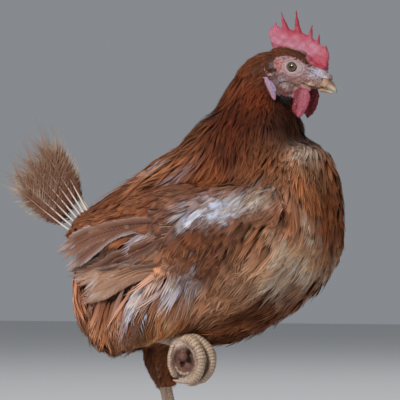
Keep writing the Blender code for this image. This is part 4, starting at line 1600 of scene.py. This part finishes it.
wing = {
    "quills": 15,
    "rootTop": (0.014, 0.078, 0.226),
    "rootBottom": (0.012, 0.074, 0.176),
    "tipTop": (-0.119, 0.040, 0.196),
    "tipBottom": (-0.084, 0.052, 0.150),
    "halfWidth": 0.0074,
    "quill": {"barbs": 70, "sweep": 2.1, "fray": 0.09, "bareBase": 0.06, "gaps": 0.01, "shaftWidth": 0.050},
    "tones": ((98, 62, 48), (118, 80, 64)),
    "buffFrom": 0.55,  # the lower quills are buff
    "buffTones": ((136, 98, 76), (158, 118, 94)),
    "shaft": (184, 148, 122),
    "edges": ((164, 130, 112), (190, 176, 172), (164, 130, 112)),  # every third quill worn paler
}


# Which guide places make up each piece, split again into the left and the right half.
coatRegions = {
    "plumageHead": (
        "forehead", "crown", "nape", "earBehind", "throat", "hindneck", "neckSideHigh", "foreneck",
    ),
    "plumageNeck": ("hindneckLow", "neckSide", "neckSideLow"),
    "plumageCape": ("capeBack", "capeSide", "capeFront", "capeEnd"),
    "plumageBack": ("back", "backSide", "tailCover", "tailSide"),
    "plumageWing": (
        "wingEdge", "wingBow", "wingTop", "wingMiddle", "wingLow", "wingRear", "wingEnd",
    ),
    "plumageBreast": (
        "breastFront", "breastUpper", "breastMiddle", "breastSide", "breastLow", "breastUnder",
    ),
    "plumageBelly": (
        "belly", "bellyFront", "breastSideLow", "flankLow", "thighTucked", "thighLow", "tuft",
    ),
    "plumageRear": ("vent", "rear", "rearLow", "flank", "flankMiddle"),
}
softRegions = ("plumageBelly", "plumageRear", "plumageBreast")
feathers = {
    "overlap": 0.24,  # a feather's own patch, as a share of its length times its half width
    "wispGap": 0.56,  # how much closer the loose locks stand
    "wispWidth": 0.30,
    "wispsFrom": (0.006, 0.012),  # feathers shorter than this have no loose locks
    "broadFrom": 0.0054,  # half width at which a hackle becomes a contour feather
    "looseFrom": 0.45,  # looseness at which a contour feather becomes fluff
    "bristlesTo": 0.008,  # length
    "headFrom": 0.004,  # from this far below the eyes up, feathers lie on the skin itself
    "headRoots": 0.0003,
    # shares of the guide places' own measures, from lowest to highest
    "lengths": (0.8, 1.2),
    "wispLengths": (0.7, 1.15),
    "halfWidths": (0.85, 1.15),
    "rootDepths": (0.85, 1.1),
    "wispDepths": (0.2, 0.6),
    "tipLift": (0.0006, 0.0032),  # always, and at most more where the plumage is loose
    "wispLift": (0.0003, 0.0012),
    "flyaways": 0.14,  # share of the loose locks that stand off, and how far
    "flyawayLift": 0.007,
    "turn": (0.22, 0.08),  # radians, together in clumps and each on its own
    "curl": 0.14,
    "wispCurl": 0.2,
}


def coatWanted(points):
    # not under the wing's quills nor right behind the ear lobe
    local = points - np.array(zero)
    edges = []
    for row in ("Top", "Bottom"):
        tip, root = wing["tip" + row], wing["root" + row]
        edges.append(np.interp(local[:, 0], (tip[0], root[0]), (tip[2], root[2])))
    onQuills = (local[:, 0] < -0.012) & (local[:, 2] < edges[0] + 0.001) & (local[:, 2] > edges[1] - 0.001)
    onQuills &= (abs(local[:, 1]) > 0.030) & (local[:, 0] > -0.105)
    q = toHead(points)
    byLobe = (abs(q[:, 0] - lobeLine(q[:, 2]) - 0.0030) < 0.0040) & (abs(q[:, 1]) > 0.006)
    byLobe &= abs(q[:, 2] + 0.0215) < 0.0125
    return feathered(points) * (1 - onQuills) * (1 - byLobe)


def gapAt(points):
    sizes = sizesAt(points)
    return np.sqrt(feathers["overlap"] * sizes[:, 0] * sizes[:, 1])


def wispGapAt(points):
    return gapAt(points) * feathers["wispGap"]


def wispsWanted(points):
    return coatWanted(points) * step(*feathers["wispsFrom"], sizesAt(points)[:, 0])


def coatTones(roots, spines, isWisp, loose, clump):
    # colour at the middle and the tip of each feather; painted shade in the furrows between the clumps,
    # painted highlight on the ridges of the folds
    count = len(roots)
    clumpShade = ripple(roots, 0.022, 62)
    tones = tonesAt(spines[:, 4])
    shade = rng.normal(1, 0.10, (count, 1)) * (1 + 0.16 * clumpShade[:, None])
    shade *= np.where(isWisp, rng.uniform(0.82, 1.22, count), 1)[:, None]
    warm = (rng.normal(0, 0.04, (count, 1)) + 0.03 * clump[:, None]) * np.array([1, 0, -1])
    rootTones = tones[:, :3] * shade * (1 + warm)
    tipTones = tones[:, 3:] * shade * (1 + warm)
    # the folds follow the coat surface's drapes: painted shade in their valleys, painted highlight on their
    # ridges
    fold = np.clip(alongLie(roots, 0.0085, 71), -1, 1) * loose
    valley = np.clip(-fold, 0, 1) * 1.15
    rootTones = rootTones * (1 - 0.55 * valley[:, None])
    tipTones = tipTones * (1 - 0.45 * valley + 0.30 * np.clip(fold, 0, 1))[:, None]
    return rootTones, tipTones


def layCoat():
    firm = paintPlume("firmFeather", 0.62, streaks=0.7, depth=0.0004)
    soft = paintPlume("softFeather", 0.75, streaks=0.75, depth=0.0005)
    broad = scatter(coatSurface, gapAt, coatWanted)
    wisps = scatter(coatSurface, wispGapAt, wispsWanted)
    print("feathers", len(broad), "wisps", len(wisps))
    roots = np.concatenate([broad, wisps])
    count = len(roots)
    isWisp = np.arange(count) >= len(broad)
    sizes = sizesAt(roots)
    loose = sizes[:, 3]
    clump = ripple(roots, 0.030, 61)

    def spreadOf(key):
        return rng.uniform(*feathers[key], count)

    lengths = sizes[:, 0] * spreadOf("lengths")
    lengths = lengths * np.where(isWisp, spreadOf("wispLengths"), 1)
    halfWidths = sizes[:, 1] * spreadOf("halfWidths") * np.where(isWisp, feathers["wispWidth"], 1)
    depths = sizes[:, 2] * np.where(isWisp, spreadOf("wispDepths"), spreadOf("rootDepths"))
    always, more = feathers["tipLift"]
    lifts = always + loose * rng.uniform(0, more, count) * step(0.010, 0.03, lengths)
    lifts += np.where(isWisp, spreadOf("wispLift"), 0)
    flyaway = isWisp & (rng.random(count) < feathers["flyaways"])
    lifts += np.where(flyaway, loose * rng.uniform(0, feathers["flyawayLift"], count), 0)
    together, own = feathers["turn"]
    yaws = together * clump + rng.normal(0, own, count) * (0.6 + 1.6 * loose)
    curls = rng.normal(0, feathers["curl"], count) * (0.4 + 1.6 * loose)
    curls = curls + np.where(isWisp, rng.normal(0, feathers["wispCurl"], count), 0)
    onHead = roots[:, 2] > headMiddle.z - feathers["headFrom"]
    lines = traced(roots, lengths, depths, lifts, yaws, curls, coatTree)
    lifts[onHead] += 0.0002
    depths[onHead] = feathers["headRoots"]
    onSkin = traced(*(a[onHead] for a in (roots, lengths, depths, lifts, yaws, curls)), skinTree)
    for part, replacement in zip(lines, onSkin):
        part[onHead] = replacement
    spines = lines[0]
    tones = coatTones(roots, spines, isWisp, loose, clump)
    streaks = step(-0.5, 0.35, alongLie(roots, 0.0050, 73))
    # worn places with painted sheen, drawn out in streaks
    wornAndSheen = wornAndSheenAt(spines[:, 3]) * (0.45 + 0.75 * streaks)
    wornAndSheen = np.clip(wornAndSheen * rng.uniform(0.75, 1.25, count), 0, 1)
    spots = bakeSpots(spines[:, 0])
    names = np.array(guideNames)[guideWeights(roots).argmax(1)]
    isBroad = halfWidths > feathers["broadFrom"]
    kind = np.where(lengths < feathers["bristlesTo"], "bristle", "hackle")
    kind = np.where(isBroad, "contour", kind)
    kind = np.where(isBroad & (loose > feathers["looseFrom"]), "fluff", kind)
    kind = np.where(isWisp, "wisp", kind)
    for region, side in itertools.product(coatRegions, ("Left", "Right")):
        here = np.isin(names, coatRegions[region]) & ((roots[:, 1] > 0) == (side == "Left"))
        laid = newCoat()
        for name, variants in templates.items():
            of = np.flatnonzero(here & (kind == name))
            for i, template in enumerate(variants):
                some = of[i :: len(variants)]
                if len(some):
                    spread(
                        laid,
                        template,
                        [part[some] for part in lines],
                        halfWidths[some],
                        [part[some] for part in tones],
                        wornAndSheen[some],
                        spots[some],
                        warm=step(0.060, 0.095, roots[some][:, :1] - zero.x),
                        contrast=0.13 if region == "plumageHead" else 0.055,
                    )
        finishCoat(region + side, laid, soft if region in softRegions else firm)


layCoat()


def layFaceBristles():
    # sparse dark bristles on the bare cheeks and lores
    def wanted(points):
        q = toHead(points)
        x, z = q[:, 0], q[:, 2]
        bare = (feathered(points) < 0.5) & (np.hypot(x, z) > 0.0092) & (abs(q[:, 1]) > 0.006)
        within = (x < 0.030) & (z < 0.0085) & (z > -0.0250)
        offLobe = (abs(asideOfLobe(x, z)) > 0.0058) | (z > -0.0080)
        offWattle = (z > -0.0150) | (x < 0.001)
        return (bare & within & offLobe & offWattle).astype(float)

    roots = scatter(skin.data, lambda points: np.full(len(points), 0.0019), wanted)
    count = len(roots)
    lines = traced(
        roots,
        0.0028 * rng.uniform(0.6, 1.4, count),
        np.full(count, 0.0003),
        np.full(count, 0.0006),
        rng.normal(0, 0.35, count),
        rng.normal(0, 0.3, count),
        skinTree,
    )
    rootTones = plain((74, 46, 38), count) * rng.uniform(0.7, 1.5, (count, 1))
    tipTones = plain((120, 88, 76), count) * rng.uniform(0.7, 1.4, (count, 1))
    laid = newCoat()
    spread(
        laid,
        templates["bristle"][0],
        lines,
        np.full(count, 0.00022),
        (rootTones, tipTones),
        np.zeros(count),
        bakeSpots(lines[0][:, 0]),
    )
    finishCoat("plumageFace", laid, paintPlume("faceBristle", 0.7, streaks=0.5, depth=0.0002))


layFaceBristles()


tail = {
    "count": 7,  # a side
    "length": 0.100,
    "lowest": 37,  # degrees above level
    "highest": 60,
    "halfWidth": 0.0112,
    "quill": {
        "barbs": 110,  # a side
        "sweep": 0.70,
        "fray": 0.55,
        "bareBase": 0.44,  # share of the shaft without barbs
        "gaps": 0.08,  # share of the barbs that are missing
        "shaftWidth": 0.105,  # in half widths of the feather
        "fan": 0.9,
    },
    "tones": ((92, 54, 38), (112, 76, 56)),
    "shaft": (232, 220, 208),
    "edge": (166, 134, 110),
    "outerEdge": (205, 184, 160),
}


def layTail():
    laid = newCoat()
    count = tail["count"]
    ratio = tail["halfWidth"] / tail["length"]
    made = [quillTemplate(500 + i, ratio, **tail["quill"]) for i in range(count)]
    for sign, order in itertools.product((-1, 1), range(count)):
        share = order / (count - 1)
        rise = math.radians(tail["lowest"] + (tail["highest"] - tail["lowest"]) * share)
        root = fromZero((-0.103 + 0.004 * share, sign * (0.007 - 0.004 * share), 0.193 + 0.012 * share))
        aim = Vector((-math.cos(rise), sign * 0.09 * (1 - share), math.sin(rise))).normalized()
        up = Vector((0, sign, 0.15)).normalized()
        length = tail["length"] * (1 + 0.04 * math.sin(3 * order + sign))
        spine = []
        for reach in np.linspace(0, 1, 9).tolist():
            sag = Vector((0, 0, 0.010 * (reach**2 - reach) * (1 - share)))
            spine.append(root + aim * length * reach + sag)
        lines = [np.array([part]) for part in (spine, [aim.cross(up).normalized()] * 9, [up] * 9)]
        edge = tail["outerEdge"] if order in (0, count - 1) else tail["edge"]
        spread(
            laid,
            made[order],
            lines,
            np.array([tail["halfWidth"]]),
            [tone(*shades)[None] for shades in tail["tones"]],
            np.array([0.0]),
            bakeSpots(lines[0][:, 0]),
            contrast=0.14,
            shaftTone=tone(*tail["shaft"]),
            edgeTone=tone(*edge),
        )
    finishCoat("tailQuills", laid, paintPlume("tailVane", 0.6, streaks=0.5, depth=0.0003), ["tail"])


layTail()


def wingSpine(order, sign):
    # from the covert's edge over the body, the highest tips standing free of it
    share = order / (wing["quills"] - 1)  # 0 is the highest, lying outermost
    root = Vector(wing["rootTop"]).lerp(Vector(wing["rootBottom"]), share)
    tip = Vector(wing["tipTop"]).lerp(Vector(wing["tipBottom"]), share)
    tip.x += 0.010 * math.sin(math.pi * share)
    spine = []
    for reach in np.linspace(0, 1, 9).tolist():
        place = root.lerp(tip, reach)
        place.z += 0.008 * math.sin(math.pi * reach) - 0.004 * reach**3
        place.y *= sign
        spine.append(place + zero)
    on, normals, _, _ = nearest(coatTree, np.array(spine))
    reach = np.linspace(0, 1, 9)[:, None]
    proud = 0.0044 - 0.0024 * share
    spine = on + normals * (proud * step(0.0, 0.35, reach) - 0.004 * (1 - step(0, 0.3, reach)))
    stride = (spine[5] - spine[3]) / 2 * 0.85
    free = 0.9 - 0.8 * float(step(0.15, 0.7, share))
    for k in (7, 8):
        straight = spine[k - 1] + stride + np.array((0.0, -sign * 0.0016, -0.0018)) * (k - 6)
        spine[k] = spine[k] * (1 - free) + straight * free
    spine[1:-1] = (spine[:-2] + spine[1:-1] * 2 + spine[2:]) / 4
    normals[1:-1] = (normals[:-2] + normals[1:-1] + normals[2:]) / 3
    run = np.gradient(spine, axis=0)
    sides = unit(np.cross(run, normals))
    return spine, sides, unit(np.cross(sides, run))


def layWing(side, sign):
    laid = newCoat()
    for order in range(wing["quills"]):
        lines = [part[None] for part in wingSpine(order, sign)]
        spine = lines[0][0]
        ratio = wing["halfWidth"] / np.linalg.norm(spine[-1] - spine[0])
        isBuff = order / (wing["quills"] - 1) > wing["buffFrom"]
        spread(
            laid,
            quillTemplate(600 + order, ratio, **wing["quill"]),
            lines,
            np.array([wing["halfWidth"]]),
            [tone(*shades)[None] for shades in wing["buffTones" if isBuff else "tones"]],
            np.array([0.0]),
            bakeSpots(spine[:1]),
            contrast=0.035,
            shaftTone=tone(*wing["shaft"]),
            edgeTone=tone(*wing["edges"][order % 3]),
        )
    finishCoat(f"wingQuills{side}", laid, wingPaint)


wingPaint = paintPlume("quillVane", 0.5, streaks=0.5, depth=0.0003)
layWing("Right", -1)
layWing("Left", 1)


def paintEye(side, sign):
    gloss = {"Coat_Weight": 0.5, "Coat_Roughness": 0.03, "Specular_IOR_Level": 0.4}
    paint = Paint(f"eye{side}Gloss", roughness=0.12, **gloss)
    centre = headFrame @ Vector((0, sign * face["eyeAside"], 0))
    turn = headFrame.to_3x3().to_4x4().inverted()
    shift = turn @ (-centre)
    where = paint.place(rotation=turn.to_euler(), location=shift)
    parts = paint.add("ShaderNodeSeparateXYZ", {}, {0: where})
    x, z = Socket(paint, parts.output.node.outputs[0]), Socket(paint, parts.output.node.outputs[2])
    reach = (x * x + z * z) ** 0.5 * 1000
    flat = paint.add("ShaderNodeCombineXYZ", {}, {0: x * 1000, 1: 0.0, 2: z * 1000})
    rays = paint.add("ShaderNodeVectorMath", {"operation": "NORMALIZE"}, {0: flat})
    fibres = paint.noise(rays, 9, 3, 0.7)
    stops = [(0.0, (66, 46, 34)), (0.5, (104, 78, 54)), (1.0, (46, 32, 26))]
    iris = paint.add(
        "ShaderNodeValToRGB",
        {"stops": [(at, tuple(tone(*shades))) for at, shades in stops]},
        {0: (reach - 2.0) / 2.3 + fibres * 0.35 - 0.17},  # from the pupil's edge out, in mm
    )
    colour = paint.blend((0.004, 0.003, 0.003), iris, reach.between(1.95, 2.2))
    colour = paint.blend(colour, tuple(tone(40, 28, 24)), reach.between(3.7, 4.3))
    paint.set("Base Color", colour)
    return paint.material


def buildEye(side, sign):
    bm = bmesh.new()
    turn = Matrix.Rotation(math.radians(90), 4, "X")
    matrix = headFrame @ Matrix.Translation((0, sign * face["eyeAside"], 0)) @ turn
    bmesh.ops.create_uvsphere(bm, u_segments=48, v_segments=32, radius=face["eyeRadius"], matrix=matrix)
    bmesh.ops.recalc_face_normals(bm, faces=bm.faces)
    mesh = bpy.data.meshes.new(f"eye{side}")
    bm.to_mesh(mesh)
    bm.free()
    mesh.shade_smooth()
    mesh.materials.append(paintEye(side, sign))
    eye = objectFrom(f"eye{side}", mesh)
    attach(eye, "root")
    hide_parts(f"eye_{side.lower()}")


def paintBill():
    paint = Paint("billHorn", roughness=0.36, Coat_Weight=0.15, Coat_Roughness=0.3)
    where = paint.place()
    grain = paint.noise(where, 700, 4, 0.6)
    paint.set("Base Color", paint.scaled(paint.tint(), grain * 0.45 + 0.78))
    paint.set("Roughness", grain * 0.3 + 0.26)
    paint.bump(grain, 0.0002, 0.6)
    return paint.material


def buildHorn(name, cadNames, voxel, material, toned):
    mesh = remeshed(cadCopy(cadNames), voxel, 3)
    mesh.name = name
    colourVerts(mesh, toned(pointsOf(mesh)))
    mesh.shade_smooth()
    mesh.materials.append(material)
    piece = objectFrom(name, mesh)
    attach(piece, "root")
    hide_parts(*cadNames)


def upperBillTones(points):
    q = toHead(points)
    x, z = q[:, 0], q[:, 2]
    colour = plain((178, 138, 108), len(points))
    colour = tinted(colour, (122, 76, 60), bell(z + 0.0045, 0.0035) * step(0.032, 0.038, x) * 0.9)
    colour = tinted(colour, (186, 178, 160), step(0.034, 0.040, x) * step(-0.0075, -0.0105, z) * 0.9)
    colour = tinted(colour, (110, 72, 56), step(0.0428, 0.0445, x) * 0.6)
    return tinted(colour, (170, 128, 74), bell(z + 0.0118, 0.0014) * step(0.037, 0.031, x) * 0.8)


def lowerBillTones(points):
    ahead = step(0.034, 0.040, toHead(points)[:, 0])
    return tinted(plain((168, 132, 98), len(points)), (202, 186, 160), ahead * 0.8)


def clawTones(points):
    pale = np.clip(ripple(points, 0.006, 51), 0, 1)
    return tinted(plain((168, 140, 118), len(points)), (206, 192, 176), pale)


for side, sign in (("Right", -1), ("Left", 1)):
    buildEye(side, sign)
horn = paintBill()
buildHorn("billUpper", ["bill_upper"], 0.00035, horn, upperBillTones)
buildHorn("billLower", ["bill_lower"], 0.00035, horn, lowerBillTones)
for side, toe in itertools.product(("left", "right"), ("hallux", "inner", "middle", "outer")):
    name = f"claw{side.capitalize()}{toe.capitalize()}"
    buildHorn(name, [f"claw_{side}_{toe}"], 0.0004, horn, clawTones)
print("head and claws done")


studio = {
    "aimUp": 0.2388,
    "distance": 4.0,
    "turn": 18,  # degrees round from the hen's right side
    "frameWidth": 0.380,
}


def buildStudio():
    bm = bmesh.new()
    bmesh.ops.create_grid(bm, x_segments=1, y_segments=1, size=4)
    mesh = bpy.data.meshes.new("floor")
    bm.to_mesh(mesh)
    bm.free()
    floor = objectFrom("floor", mesh)
    paint = Paint("paleFloor", roughness=0.85)
    paint.set("Base Color", (0.62, 0.62, 0.62))
    mesh.materials.append(paint.material)

    world = bpy.data.worlds.new("studio")
    world.use_nodes = True
    world.node_tree.nodes["Background"].inputs[0].default_value = (0.80, 0.84, 0.90, 1)
    world.node_tree.nodes["Background"].inputs[1].default_value = 0.30
    bpy.context.scene.world = world

    aim = Vector((zero.x, 0, studio["aimUp"]))
    for name, place, size, power, colour in (
        ("key", (-0.7, -1.9, 1.25), 0.9, 53, (0.96, 0.98, 1.0)),
        ("fill", (1.6, -1.2, 0.5), 1.4, 5, (1.0, 0.97, 0.94)),
        ("rim", (-0.2, 1.6, 1.6), 1.2, 12, (1.0, 1.0, 1.0)),
    ):
        light = bpy.data.lights.new(name, "AREA")
        light.shape = "DISK"
        light.size = size
        light.energy = power
        light.color = colour
        lamp = objectFrom(name, light)
        lamp.location = aim + Vector(place)
        lamp.rotation_euler = (aim - lamp.location).to_track_quat("-Z", "Y").to_euler()

    camera = bpy.data.cameras.new("camera")
    camera.sensor_fit = "HORIZONTAL"
    camera.angle = 2 * math.atan(studio["frameWidth"] / 2 / studio["distance"])
    view = objectFrom("camera", camera)
    turn = math.radians(studio["turn"])
    view.location = aim + Vector((math.sin(turn), -math.cos(turn), 0)) * studio["distance"]
    view.rotation_euler = (math.radians(90), 0, turn)
    bpy.context.scene.camera = view


buildStudio()
bpy.context.scene.view_settings.view_transform = "Standard"
